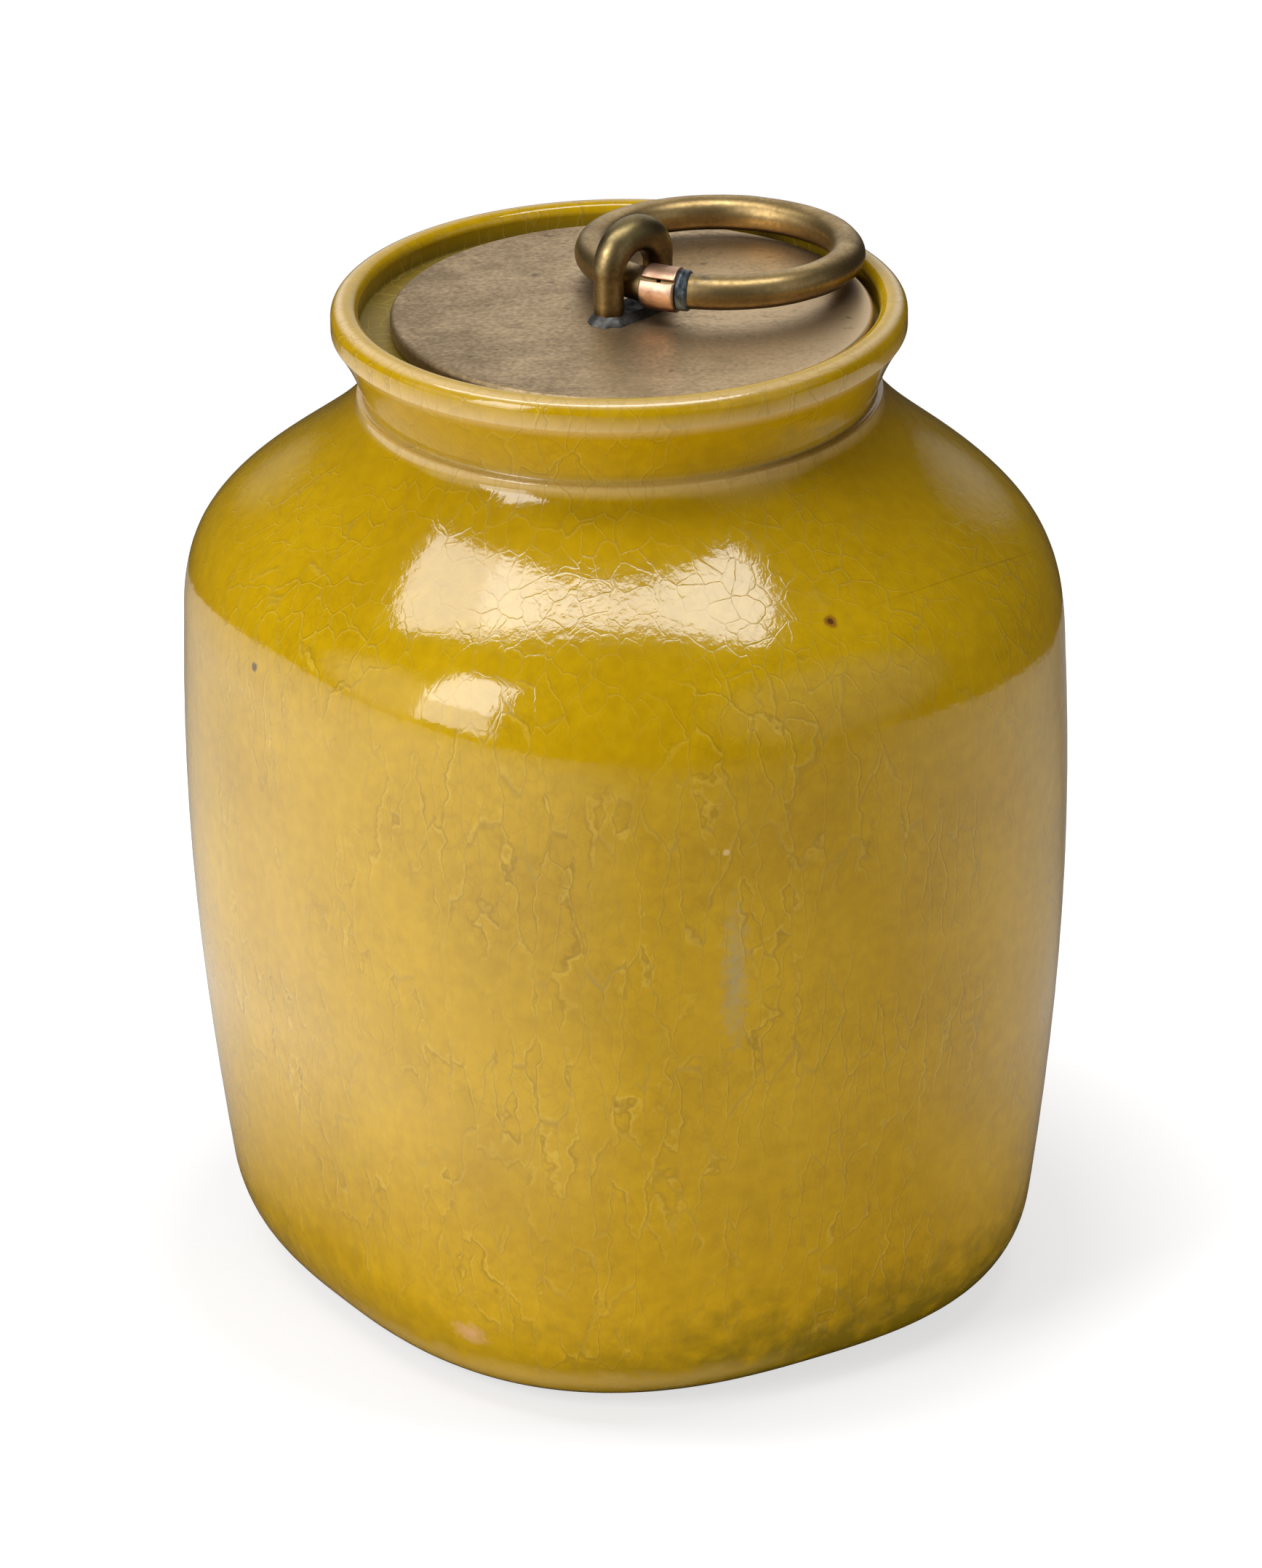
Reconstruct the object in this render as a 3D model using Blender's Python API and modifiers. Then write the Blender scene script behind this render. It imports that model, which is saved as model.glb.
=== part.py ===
# Stoneware lidded jar: a thrown jar pressed softly square, with a round neck and
# a rolled rim, and a flat metal lid that is lifted by a ring hanging in a staple.
#
# Metres, +Z up. The origin is the centre of the foot's resting face, and the jar's
# flatter sides face along X and Y. The lid lies in the rim as it was put down: a
# little off centre, with its ring turned by PULL_TURN.

from math import asin, cos, pi, radians, sin, sqrt

import bmesh
import bpy
from mathutils import Vector
from mathutils.geometry import interpolate_bezier

# Clearances
GAP = 0.0003                    # between pieces that rest on or hold each other
CUT_OVERRUN = 0.002             # how far a cutter runs past what it cuts

# Jar, outside: half widths across the flats
FOOT_HALF = 0.0492
HEEL_HALF = 0.0597
BELLY_HALF = 0.0674
SHOULDER_HALF = 0.0555

# Jar, outside: how much each stretch climbs, from the table to the rim's crest
HEEL_HEIGHT = 0.0145
WALL_HEIGHT = 0.0935            # from the heel to the belly, where the jar is widest
SHOULDER_HEIGHT = 0.0226
SLOPE_HEIGHT = 0.0144           # from the shoulder's turn to the neck's root
BEAD_HEIGHT = 0.0016
NECK_HEIGHT = 0.0014            # the straight neck over its bead
FLARE_HEIGHT = 0.0080           # from the neck out to the rim's lower edge
LIP_EDGE_ROUND = 0.0008
LIP_HEIGHT = 0.0008             # the rim's upright band
CREST_HEIGHT = 0.0032

# Jar, headings of its outline in degrees: 0 runs outwards, 90 runs up
FOOT_HEADING = 15.0
HEEL_HEADING = 81.5
SHOULDER_HEADING = 141.9
NECK_ROOT_HEADING = 112.0
LIP_UNDERSIDE_HEADING = 40.0

# Jar, soft square: what the section's exponent has over a circle's 2, and how much
# slimmer the jar is along X than along Y
CORNER_SHARE = 0.62
SLIM_SHARE = 0.0315
SQUARE_FADE_SHARE = 1.3
SLIM_FADE_SHARE = 0.33          # the slimness fades out over this last part of the square

# Jar, neck bead, seat for the lid, walls and foot
BEAD_DEPTH = 0.0006
WELL_PLAY = 0.0029              # between the lid, when it lies in the middle, and the rim
WELL_DEPTH = 0.0044             # from the rim's crest to the ledge that carries the lid
LEDGE_REACH = 0.0036            # how far the ledge reaches in under the lid
LEDGE_ROUND = 0.0009
LIP_ROLL = 0.0017               # from the well's wall out to the rim's crest
LIP_SWELL = 0.00255             # from the crest out to the rim's widest
THROAT_HEIGHT = 0.0104
NECK_WALL = 0.0060
NECK_SPREAD = 0.0007            # how much wider the neck is at its root
WALL = 0.0055
FLOOR = 0.0085
FLOOR_ROUND = 0.0085
FOOT_RING_WIDTH = 0.0090
FOOT_RECESS = 0.0018
RECESS_SLOPE = 0.0022

# Lid
LID_RADIUS = 0.0371
LID_THICKNESS = 0.0027
LID_EDGE_ROUND = 0.0009
LID_SHIFT_X = 0.0010
LID_SHIFT_Y = -0.0022

# Staple and the solder that it stands in
STAPLE_BAR_RADIUS = 0.0023
STAPLE_PLAY = 0.0004            # between each leg and the ring's bar
STAPLE_RISE = 0.0127            # from the lid's top to the centre of the arch's bar
STAPLE_SHIFT_X = -0.0002        # off the lid's centre
STAPLE_SHIFT_Y = -0.0008
HEAD_RADIUS = 0.0032            # of the legs' hammered ends, under the lid
HEAD_DEPTH = 0.0010
HEAD_TAPER = 0.0005
SOLDER_HEIGHT = 0.0015
SOLDER_MARGIN = 0.0012          # past the legs, all round

# Ring, and the sleeve that closes it
PULL_TURN = 14.8                # degrees from +X to where the ring lies
PULL_RADIUS = 0.0194            # to the centre of the ring's bar
PULL_BAR_RADIUS = 0.0026
BUTT_GAP = 0.0006               # between the bar's two ends
FERRULE_WALL = 0.0005
FERRULE_LENGTH = 0.0051
FERRULE_OFFSET = 0.0032         # along the bar, from the staple to the sleeve
SEAM_WIDTH = 0.0005
SEAM_ANGLE = 38.0               # degrees up from the ring's outer side
COLLAR_LENGTH = 0.0011
COLLAR_LIP = 0.0003             # thickness of the collar's thin end

# Facets and shading
MERGE_DISTANCE = 0.00001
SHARP_ANGLE = 40.0              # degrees between faces that keep a crisp edge
AROUND_JAR = 60
AROUND_LID = 64
AROUND_LEG_HOLE = 16
AROUND_BAR = 12
AROUND_SLEEVE = 18
STEPS_SPAN = 5
STEPS_ROLL = 4
STEPS_ARCH = 12
STEPS_PULL = 60
STEPS_SLEEVE = 3

# Shares
SPAN_REACH_SHARE = 0.36         # a curve's handle, of the chord between its ends
SHOULDER_REACH_SHARE = 0.45
ROLL_REACH_SHARE = 0.39
BEAD_TOP_SHARE = 0.45

# Radii, heights over the table and places that follow from the sizes above
WELL_RADIUS = LID_RADIUS + WELL_PLAY
THROAT_RADIUS = LID_RADIUS - LEDGE_REACH
CREST_RADIUS = WELL_RADIUS + LIP_ROLL
LIP_RADIUS = CREST_RADIUS + LIP_SWELL
NECK_RADIUS = THROAT_RADIUS + NECK_WALL
NECK_ROOT_RADIUS = NECK_RADIUS + NECK_SPREAD
HEEL_RISE = HEEL_HEIGHT
BELLY_RISE = HEEL_RISE + WALL_HEIGHT
SHOULDER_RISE = BELLY_RISE + SHOULDER_HEIGHT
NECK_ROOT_RISE = SHOULDER_RISE + SLOPE_HEIGHT
NECK_RISE = NECK_ROOT_RISE + BEAD_HEIGHT + NECK_HEIGHT
LIP_EDGE_RISE = NECK_RISE + FLARE_HEIGHT
LIP_BAND_RISE = LIP_EDGE_RISE + LIP_EDGE_ROUND
LIP_RISE = LIP_BAND_RISE + LIP_HEIGHT
CREST_RISE = LIP_RISE + CREST_HEIGHT
LEDGE_RISE = CREST_RISE - WELL_DEPTH
THROAT_FOOT_RISE = LEDGE_RISE - THROAT_HEIGHT
LID_BOTTOM = LEDGE_RISE + GAP
LID_TOP = LID_BOTTOM + LID_THICKNESS
LEG_OFFSET = STAPLE_BAR_RADIUS + STAPLE_PLAY + PULL_BAR_RADIUS
STAPLE_X = LID_SHIFT_X + STAPLE_SHIFT_X
STAPLE_Y = LID_SHIFT_Y + STAPLE_SHIFT_Y
HINGE_RISE = LID_TOP + GAP + SOLDER_HEIGHT + GAP + PULL_BAR_RADIUS


# Helpers

def clear_scene():
    for item in list(bpy.data.objects):
        bpy.data.objects.remove(item, do_unlink=True)
    for group in list(bpy.data.collections):
        bpy.data.collections.remove(group)


def new_collection(name):
    group = bpy.data.collections.new(name)
    bpy.context.scene.collection.children.link(group)
    return group


def new_material(name, colour, roughness, metallic):
    material = bpy.data.materials.new(name)
    material.use_nodes = True
    shader = material.node_tree.nodes["Principled BSDF"]
    shader.inputs["Base Color"].default_value = (*colour, 1.0)
    shader.inputs["Roughness"].default_value = roughness
    shader.inputs["Metallic"].default_value = metallic
    material.diffuse_color = (*colour, 1.0)
    return material


def new_object(name, mesh, group, material=None):
    item = bpy.data.objects.new(name, mesh)
    if material:
        mesh.materials.append(material)
    group.objects.link(item)
    return item


def finish_mesh(name, bm):
    """Turn a bmesh into a mesh with faces out and shaded smooth."""
    bmesh.ops.recalc_face_normals(bm, faces=bm.faces)
    mesh = bpy.data.meshes.new(name)
    bm.to_mesh(mesh)
    bm.free()
    mesh.shade_smooth()
    mesh.set_sharp_from_angle(angle=radians(SHARP_ANGLE))
    return mesh


def heading_vector(heading):
    return Vector((cos(radians(heading)), sin(radians(heading))))


def span(start, start_heading, end, end_heading, reach_share=SPAN_REACH_SHARE, steps=STEPS_SPAN):
    """Points of a smooth curve after start, up to and with end, in half width and rise."""
    start, end = Vector(start), Vector(end)
    reach = (end - start).length * reach_share
    leaving = start + heading_vector(start_heading) * reach
    arriving = end - heading_vector(end_heading) * reach
    return interpolate_bezier(start, leaving, arriving, end, steps + 1)[1:]


def skin(bm, rings, closed_rings=True):
    """Join each ring of vertices to the next with quads."""
    for lower, upper in zip(rings, rings[1:]):
        count = len(lower)
        for index in range(count if closed_rings else count - 1):
            following = (index + 1) % count
            bm.faces.new((lower[index], lower[following], upper[following], upper[index]))


def bar_along(name, points, bar_radius, group, material, widths=None):
    """A round bar with filled caps along the given points."""
    curve = bpy.data.curves.new(name, "CURVE")
    curve.dimensions = "3D"
    curve.bevel_depth = bar_radius
    curve.bevel_resolution = AROUND_BAR // 2 - 2
    curve.use_fill_caps = True
    spline = curve.splines.new("POLY")
    spline.points.add(len(points) - 1)
    for index, (spline_point, place) in enumerate(zip(spline.points, points)):
        spline_point.co = Vector(place).to_4d()
        spline_point.radius = widths[index] if widths else 1.0
    curve.materials.append(material)
    item = bpy.data.objects.new(name, curve)
    group.objects.link(item)
    return item


# Jar

def squareness(rise):
    """1 at the foot, fading to 0 where the neck begins and the section is round."""
    climbed = min(max(rise / NECK_ROOT_RISE, 0.0), 1.0)
    return 1.0 - climbed ** SQUARE_FADE_SHARE


def jar_section(half, rise):
    """Points round the jar at one height: a circle drawn out towards a square."""
    exponent = 2.0 + CORNER_SHARE * squareness(rise)
    slim = SLIM_SHARE * min(1.0, squareness(rise) / SLIM_FADE_SHARE)
    points = []
    for index in range(AROUND_JAR):
        angle = 2 * pi * index / AROUND_JAR
        spread = (abs(cos(angle)) ** exponent + abs(sin(angle)) ** exponent) ** (-1 / exponent)
        points.append(Vector((half * spread * cos(angle) * (1 - slim),
                              half * spread * sin(angle) * (1 + slim), rise)))
    return points


def outer_outline():
    """The jar's outside from the foot's edge to the crest of the rim."""
    foot = (FOOT_HALF, 0.0)
    heel = (HEEL_HALF, HEEL_RISE)
    belly = (BELLY_HALF, BELLY_RISE)
    shoulder = (SHOULDER_HALF, SHOULDER_RISE)
    neck_root = (NECK_ROOT_RADIUS, NECK_ROOT_RISE)
    bead_top = (NECK_ROOT_RADIUS + BEAD_DEPTH, NECK_ROOT_RISE + BEAD_HEIGHT * BEAD_TOP_SHARE)
    bead_end = (NECK_RADIUS, NECK_ROOT_RISE + BEAD_HEIGHT)
    neck = (NECK_RADIUS, NECK_RISE)
    lip_edge = (LIP_RADIUS - LIP_EDGE_ROUND / 2, LIP_EDGE_RISE)
    band_foot = (LIP_RADIUS, LIP_BAND_RISE)
    lip = (LIP_RADIUS, LIP_RISE)
    crest = (CREST_RADIUS, CREST_RISE)
    outline = [foot]
    outline += span(foot, FOOT_HEADING, heel, HEEL_HEADING)
    outline += span(heel, HEEL_HEADING, belly, 90.0)
    outline += span(belly, 90.0, shoulder, SHOULDER_HEADING, SHOULDER_REACH_SHARE)
    outline += span(shoulder, SHOULDER_HEADING, neck_root, NECK_ROOT_HEADING)
    outline += [bead_top, bead_end, neck]
    outline += span(neck, 90.0, lip_edge, LIP_UNDERSIDE_HEADING)
    outline += span(lip_edge, LIP_UNDERSIDE_HEADING, band_foot, 90.0, ROLL_REACH_SHARE, STEPS_ROLL // 2)
    outline += [lip]
    outline += span(lip, 90.0, crest, 180.0, ROLL_REACH_SHARE, STEPS_ROLL)
    return outline


def seat_outline():
    """From the crest down the well round the lid, over the ledge, to the throat's foot."""
    crest = (CREST_RADIUS, CREST_RISE)
    well_top = (WELL_RADIUS, CREST_RISE - LIP_ROLL)
    ledge_edge = (THROAT_RADIUS + LEDGE_ROUND, LEDGE_RISE)
    throat_top = (THROAT_RADIUS, LEDGE_RISE - LEDGE_ROUND)
    outline = span(crest, 180.0, well_top, 270.0, ROLL_REACH_SHARE, STEPS_ROLL)
    outline += [(WELL_RADIUS, LEDGE_RISE), ledge_edge]
    outline += span(ledge_edge, 180.0, throat_top, 270.0, ROLL_REACH_SHARE, STEPS_ROLL // 2)
    outline += [(THROAT_RADIUS, THROAT_FOOT_RISE)]
    return outline


def inner_outline():
    """The hollow, one wall inside the outer outline, from the throat down to the floor."""
    floor_rise = FOOT_RECESS + FLOOR
    inwards = heading_vector(SHOULDER_HEADING + 90.0)
    throat = (THROAT_RADIUS, THROAT_FOOT_RISE)
    shoulder = Vector((SHOULDER_HALF, SHOULDER_RISE)) + inwards * WALL
    belly = (BELLY_HALF - WALL, BELLY_RISE)
    heel = (HEEL_HALF - WALL, floor_rise + FLOOR_ROUND)
    floor_edge = (HEEL_HALF - WALL - FLOOR_ROUND, floor_rise)
    outline = span(throat, 270.0, shoulder, SHOULDER_HEADING - 180.0)
    outline += span(shoulder, SHOULDER_HEADING - 180.0, belly, 270.0, SHOULDER_REACH_SHARE, STEPS_ROLL)
    outline += span(belly, 270.0, heel, HEEL_HEADING + 180.0, steps=STEPS_ROLL)
    outline += span(heel, HEEL_HEADING + 180.0, floor_edge, 180.0, ROLL_REACH_SHARE, STEPS_ROLL)
    return outline


def foot_outline():
    """The turned foot: a shallow recess inside the ring that the jar stands on."""
    recess_edge = (FOOT_HALF - FOOT_RING_WIDTH - RECESS_SLOPE, FOOT_RECESS)
    ring_inside = (FOOT_HALF - FOOT_RING_WIDTH, 0.0)
    return [recess_edge, ring_inside]


def make_jar(group, material):
    outline = foot_outline() + outer_outline() + seat_outline() + inner_outline()
    bm = bmesh.new()
    rings = [[bm.verts.new(point) for point in jar_section(half, rise)] for half, rise in outline]
    skin(bm, rings)
    under = bm.verts.new((0.0, 0.0, FOOT_RECESS))
    floor = bm.verts.new((0.0, 0.0, FOOT_RECESS + FLOOR))
    for ring, pole in ((rings[0], under), (rings[-1], floor)):
        for index in range(AROUND_JAR):
            bm.faces.new((ring[index], ring[(index + 1) % AROUND_JAR], pole))
    return new_object("jar_body", finish_mesh("jar_body", bm), group, material)


# Lid

def leg_places():
    """Where the staple's two legs stand, measured from the middle between them."""
    along = Vector((cos(radians(PULL_TURN)), sin(radians(PULL_TURN))))
    return [along * -LEG_OFFSET, along * LEG_OFFSET]


def leg_cutters(item, low, high, cutters):
    """Cut the clearance holes for the staple's legs out of a piece on the lid."""
    hole_radius = (STAPLE_BAR_RADIUS + GAP) / cos(pi / AROUND_LEG_HOLE)
    for number, place in enumerate(leg_places()):
        bm = bmesh.new()
        bmesh.ops.create_cone(bm, cap_ends=True, segments=AROUND_LEG_HOLE, radius1=hole_radius,
                              radius2=hole_radius, depth=high - low)
        mesh = finish_mesh("leg_cutter", bm)
        cutter = new_object(f"{item.name}_leg_cutter_{number}", mesh, cutters)
        cutter.location = (STAPLE_X + place.x, STAPLE_Y + place.y, (low + high) / 2)
        cutter.hide_render = True
        cutter.display_type = "WIRE"
        cut = item.modifiers.new(f"leg_hole_{number}", "BOOLEAN")
        cut.operation = "DIFFERENCE"
        cut.object = cutter


def make_lid(group, cutters, material):
    """A turned disc: the profile runs from the top's centre out and down to the bottom's."""
    top_edge = (LID_RADIUS - LID_EDGE_ROUND, LID_THICKNESS)
    side_top = (LID_RADIUS, LID_THICKNESS - LID_EDGE_ROUND)
    profile = [(0.0, LID_THICKNESS), top_edge]
    profile += span(top_edge, 0.0, side_top, -90.0, ROLL_REACH_SHARE, STEPS_ROLL)
    profile += [(LID_RADIUS, LID_EDGE_ROUND / 2), (LID_RADIUS - LID_EDGE_ROUND / 2, 0.0), (0.0, 0.0)]
    mesh = bpy.data.meshes.new("lid_plate")
    edges = [(index, index + 1) for index in range(len(profile) - 1)]
    mesh.from_pydata([(half, 0.0, rise) for half, rise in profile], edges, [])
    lid = new_object("lid_plate", mesh, group, material)
    lid.location = (LID_SHIFT_X, LID_SHIFT_Y, LID_BOTTOM)
    turn = lid.modifiers.new("turn", "SCREW")
    turn.axis = "Z"
    turn.steps = AROUND_LID
    turn.render_steps = AROUND_LID
    turn.use_merge_vertices = True
    turn.merge_threshold = MERGE_DISTANCE
    turn.use_smooth_shade = True
    leg_cutters(lid, LID_BOTTOM - CUT_OVERRUN, LID_TOP + CUT_OVERRUN, cutters)
    return lid


# Staple

def make_staple(group, material):
    """A bent bar: two legs through the lid, hammered into heads under it."""
    head_top = LID_BOTTOM - GAP - LID_TOP
    head_start = head_top - HEAD_TAPER
    head_bottom = head_start - HEAD_DEPTH
    arch_foot = STAPLE_RISE - LEG_OFFSET
    head_share = HEAD_RADIUS / STAPLE_BAR_RADIUS
    points = [(-LEG_OFFSET, 0.0, rise) for rise in (head_bottom, head_start, head_top)]
    for step in range(STEPS_ARCH + 1):
        angle = pi - pi * step / STEPS_ARCH
        points.append((LEG_OFFSET * cos(angle), 0.0, arch_foot + LEG_OFFSET * sin(angle)))
    points += [(LEG_OFFSET, 0.0, rise) for rise in (head_top, head_start, head_bottom)]
    widths = [head_share, head_share, 1.0] + [1.0] * (STEPS_ARCH + 1) + [1.0, head_share, head_share]
    staple = bar_along("pull_staple", points, STAPLE_BAR_RADIUS, group, material, widths)
    staple.location = (STAPLE_X, STAPLE_Y, LID_TOP)
    staple.rotation_euler = (0.0, 0.0, radians(PULL_TURN))
    return staple


def stadium(half_length, end_radius, rise, turn):
    """An oval with straight sides, lying along the line between the staple's legs."""
    points = []
    for index in range(AROUND_LEG_HOLE):
        angle = 2 * pi * (index + 0.5) / AROUND_LEG_HOLE
        shift = half_length if cos(angle) > 0 else -half_length
        x, y = shift + end_radius * cos(angle), end_radius * sin(angle)
        points.append(Vector((x * cos(turn) - y * sin(turn), x * sin(turn) + y * cos(turn), rise)))
    return points


def make_solder(group, cutters, material):
    """The low mound of solder that the staple's legs stand in."""
    end_radius = STAPLE_BAR_RADIUS + SOLDER_MARGIN
    bm = bmesh.new()
    rings = []
    for step in range(STEPS_ROLL):
        angle = pi / 2 * step / STEPS_ROLL
        rise = SOLDER_HEIGHT * sin(angle)
        outline = stadium(LEG_OFFSET, end_radius * cos(angle), rise, radians(PULL_TURN))
        rings.append([bm.verts.new(point) for point in outline])
    skin(bm, rings)
    bm.faces.new(rings[0])
    bm.faces.new(rings[-1])
    solder = new_object("staple_solder", finish_mesh("staple_solder", bm), group, material)
    solder.location = (STAPLE_X, STAPLE_Y, LID_TOP + GAP)
    leg_cutters(solder, LID_TOP - CUT_OVERRUN, LID_TOP + SOLDER_HEIGHT + CUT_OVERRUN, cutters)
    return solder


# Ring: modelled with its hinge at the local origin, lying out along local +X

def rest_angle():
    """How far the ring dips below level: until its far side lies on the rim or the lid."""
    reach = 2 * PULL_RADIUS
    turn = radians(PULL_TURN)
    far_side = Vector((STAPLE_X + reach * cos(turn), STAPLE_Y + reach * sin(turn))).length
    clear = PULL_BAR_RADIUS + GAP
    lowest = LID_TOP + clear
    for half, rise in outer_outline()[-STEPS_ROLL:] + seat_outline()[:STEPS_ROLL]:
        if abs(far_side - half) < clear:
            lowest = max(lowest, rise + sqrt(clear ** 2 - (far_side - half) ** 2))
    return asin((HINGE_RISE - lowest) / reach)


def ring_point(angle, out=0.0, up=0.0):
    """A point on the ring, at an angle round it from the hinge, off its bar's centre."""
    distance = PULL_RADIUS + out
    return Vector((PULL_RADIUS - distance * cos(angle), -distance * sin(angle), up))


def make_hinge(group):
    hinge = bpy.data.objects.new("pull_hinge", None)
    group.objects.link(hinge)
    hinge.location = (STAPLE_X, STAPLE_Y, HINGE_RISE)
    hinge.rotation_euler = (0.0, rest_angle(), radians(PULL_TURN))
    return hinge


def make_ring(group, hinge, material):
    butt = (FERRULE_OFFSET + FERRULE_LENGTH / 2) / PULL_RADIUS
    half_gap = BUTT_GAP / 2 / PULL_RADIUS
    sweep = 2 * pi - 2 * half_gap
    points = [ring_point(butt + half_gap + sweep * step / STEPS_PULL) for step in range(STEPS_PULL + 1)]
    ring = bar_along("pull_ring", points, PULL_BAR_RADIUS, group, material)
    ring.parent = hinge
    return ring


def sleeve_mesh(name, stations, seam_angle):
    """A tube round the ring's bar. Each station is a distance along the bar and two radii,
    and a seam angle above zero leaves a slit along the tube."""
    slit = seam_angle > 0
    start = radians(SEAM_ANGLE) + seam_angle / 2
    step = (2 * pi - seam_angle) / AROUND_SLEEVE
    bearings = [start + step * index for index in range(AROUND_SLEEVE + slit)]
    bm = bmesh.new()
    shells = []
    for shell in (1, 2):
        rings = []
        for station in stations:
            angle, radius = station[0] / PULL_RADIUS, station[shell]
            rings.append([bm.verts.new(ring_point(angle, radius * cos(bearing), radius * sin(bearing)))
                          for bearing in bearings])
        skin(bm, rings, closed_rings=not slit)
        shells.append(rings)
    outside, inside = shells
    for end in (0, -1):
        skin(bm, [outside[end], inside[end]], closed_rings=not slit)
    if slit:
        for edge in (0, -1):
            seam = [[ring[edge] for ring in shell] for shell in (outside, inside)]
            skin(bm, seam, closed_rings=False)
    return finish_mesh(name, bm)


def make_ferrule(group, hinge, material):
    """The rolled sleeve over the ring's butted ends, with its open seam."""
    bore = PULL_BAR_RADIUS + GAP
    outside = bore + FERRULE_WALL
    stations = [(FERRULE_OFFSET + FERRULE_LENGTH * step / STEPS_SLEEVE, outside, bore)
                for step in range(STEPS_SLEEVE + 1)]
    mesh = sleeve_mesh("ring_ferrule", stations, SEAM_WIDTH / bore)
    ferrule = new_object("ring_ferrule", mesh, group, material)
    ferrule.parent = hinge
    return ferrule


def make_collar(group, hinge, material):
    """The fillet of solder at the sleeve's outer end."""
    bore = PULL_BAR_RADIUS + GAP
    start = FERRULE_OFFSET + FERRULE_LENGTH + GAP
    stations = [(start, bore + FERRULE_WALL, bore), (start + COLLAR_LENGTH, bore + COLLAR_LIP, bore)]
    collar = new_object("ferrule_solder", sleeve_mesh("ferrule_solder", stations, 0.0), group, material)
    collar.parent = hinge
    return collar


def main():
    clear_scene()
    parts = new_collection("stoneware_lidded_jar")
    cutters = new_collection("cutters")
    glaze = new_material("mustard_glaze", (0.40, 0.25, 0.03), 0.16, 0.0)
    bronze = new_material("brushed_bronze", (0.36, 0.27, 0.18), 0.42, 1.0)
    bar_bronze = new_material("bar_bronze", (0.47, 0.33, 0.13), 0.32, 1.0)
    copper = new_material("ferrule_copper", (0.72, 0.42, 0.26), 0.30, 1.0)
    solder = new_material("grey_solder", (0.35, 0.38, 0.38), 0.45, 1.0)
    make_jar(parts, glaze)
    make_lid(parts, cutters, bronze)
    make_staple(parts, bar_bronze)
    make_solder(parts, cutters, solder)
    hinge = make_hinge(parts)
    make_ring(parts, hinge, bar_bronze)
    make_ferrule(parts, hinge, copper)
    make_collar(parts, hinge, solder)


main()
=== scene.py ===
# Stoneware lidded jar, dressed for a studio picture: mustard glaze over a thrown,
# softly squared pot, and a brushed bronze lid that is lifted by a ring in a staple.
import math
from math import cos, pi, radians, sin

import bmesh
import bpy
from mathutils import Euler, Matrix, Vector, noise
from mathutils.geometry import interpolate_bezier


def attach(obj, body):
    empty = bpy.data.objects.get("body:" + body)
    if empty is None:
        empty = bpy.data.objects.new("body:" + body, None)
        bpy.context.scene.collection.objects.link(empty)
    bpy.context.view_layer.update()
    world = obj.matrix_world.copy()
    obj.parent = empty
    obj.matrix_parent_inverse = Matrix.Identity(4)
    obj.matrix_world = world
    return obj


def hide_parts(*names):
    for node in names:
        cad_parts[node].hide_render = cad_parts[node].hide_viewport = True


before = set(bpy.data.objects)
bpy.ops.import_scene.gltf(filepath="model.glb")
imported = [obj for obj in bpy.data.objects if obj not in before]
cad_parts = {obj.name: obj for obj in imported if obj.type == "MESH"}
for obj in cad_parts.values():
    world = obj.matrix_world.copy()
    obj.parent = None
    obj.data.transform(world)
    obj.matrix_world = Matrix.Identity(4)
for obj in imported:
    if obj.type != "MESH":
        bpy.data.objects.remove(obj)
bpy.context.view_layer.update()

scene = bpy.context.scene
print("frame loaded:", len(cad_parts), "nodes")


class Values(dict):
    # A dictionary of changeable values, which can also be read as s.name
    __getattr__ = dict.__getitem__


def addObject(name, data):
    made = bpy.data.objects.new(name, data)
    scene.collection.objects.link(made)
    return made


# Camera, at the photograph's angle

cameraSettings = Values({
    "place": (-0.75056, -1.24063, 0.72834),
    "turn": (65.878, 0.657, -31.504),
    "lens": 233.215,
    "sensor": 36.0,
    "clip": (0.01, 50.0),
})


def makeCamera(s):
    data = bpy.data.cameras.new("studioCamera")
    data.lens = s.lens
    data.sensor_width = s.sensor
    data.clip_start, data.clip_end = s.clip
    camera = addObject("studioCamera", data)
    camera.location = s.place
    camera.rotation_euler = Euler([radians(angle) for angle in s.turn], "XYZ")
    scene.camera = camera


makeCamera(cameraSettings)
scene.view_settings.view_transform = "Standard"
print("camera placed")


# Node helpers, for geometry and shader trees alike. A sum is made in the tree its sockets are in.

def connect(value, socket):
    if isinstance(value, bpy.types.NodeSocket):
        socket.id_data.links.new(value, socket)
    else:
        socket.default_value = value


def addNode(tree, kind, settings=None, inputs=()):
    # The inputs are a dictionary by name, or else values in the node's own order
    node = tree.nodes.new(kind)
    for name, value in (settings or {}).items():
        setattr(node, name, value)
    if isinstance(inputs, dict):
        for name, value in inputs.items():
            connect(value, next(s for s in node.inputs if s.name == name and s.enabled))
    else:
        for socket, value in zip(node.inputs, inputs):
            connect(value, socket)
    return node


def treeOf(values):
    return next(value.id_data for value in values if isinstance(value, bpy.types.NodeSocket))


def calc(operation, *values, clamp=False):
    return addNode(treeOf(values), "ShaderNodeMath", {
        "operation": operation, "use_clamp": clamp}, values).outputs[0]


def times(result, *others):
    for other in others:
        result = calc("MULTIPLY", result, other)
    return result


def plus(result, *others):
    for other in others:
        result = calc("ADD", result, other)
    return result


def minus(first, second):
    return calc("SUBTRACT", first, second)


def ramp(value, start, slope):
    # 0 where the value is at start, changing by slope from there, kept between 0 and 1
    return calc("MULTIPLY", minus(value, start), slope, clamp=True)


def line(value, slope, base):
    # slope times the value, and base more, kept between 0 and 1
    return calc("MULTIPLY_ADD", value, slope, base, clamp=True)


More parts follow.
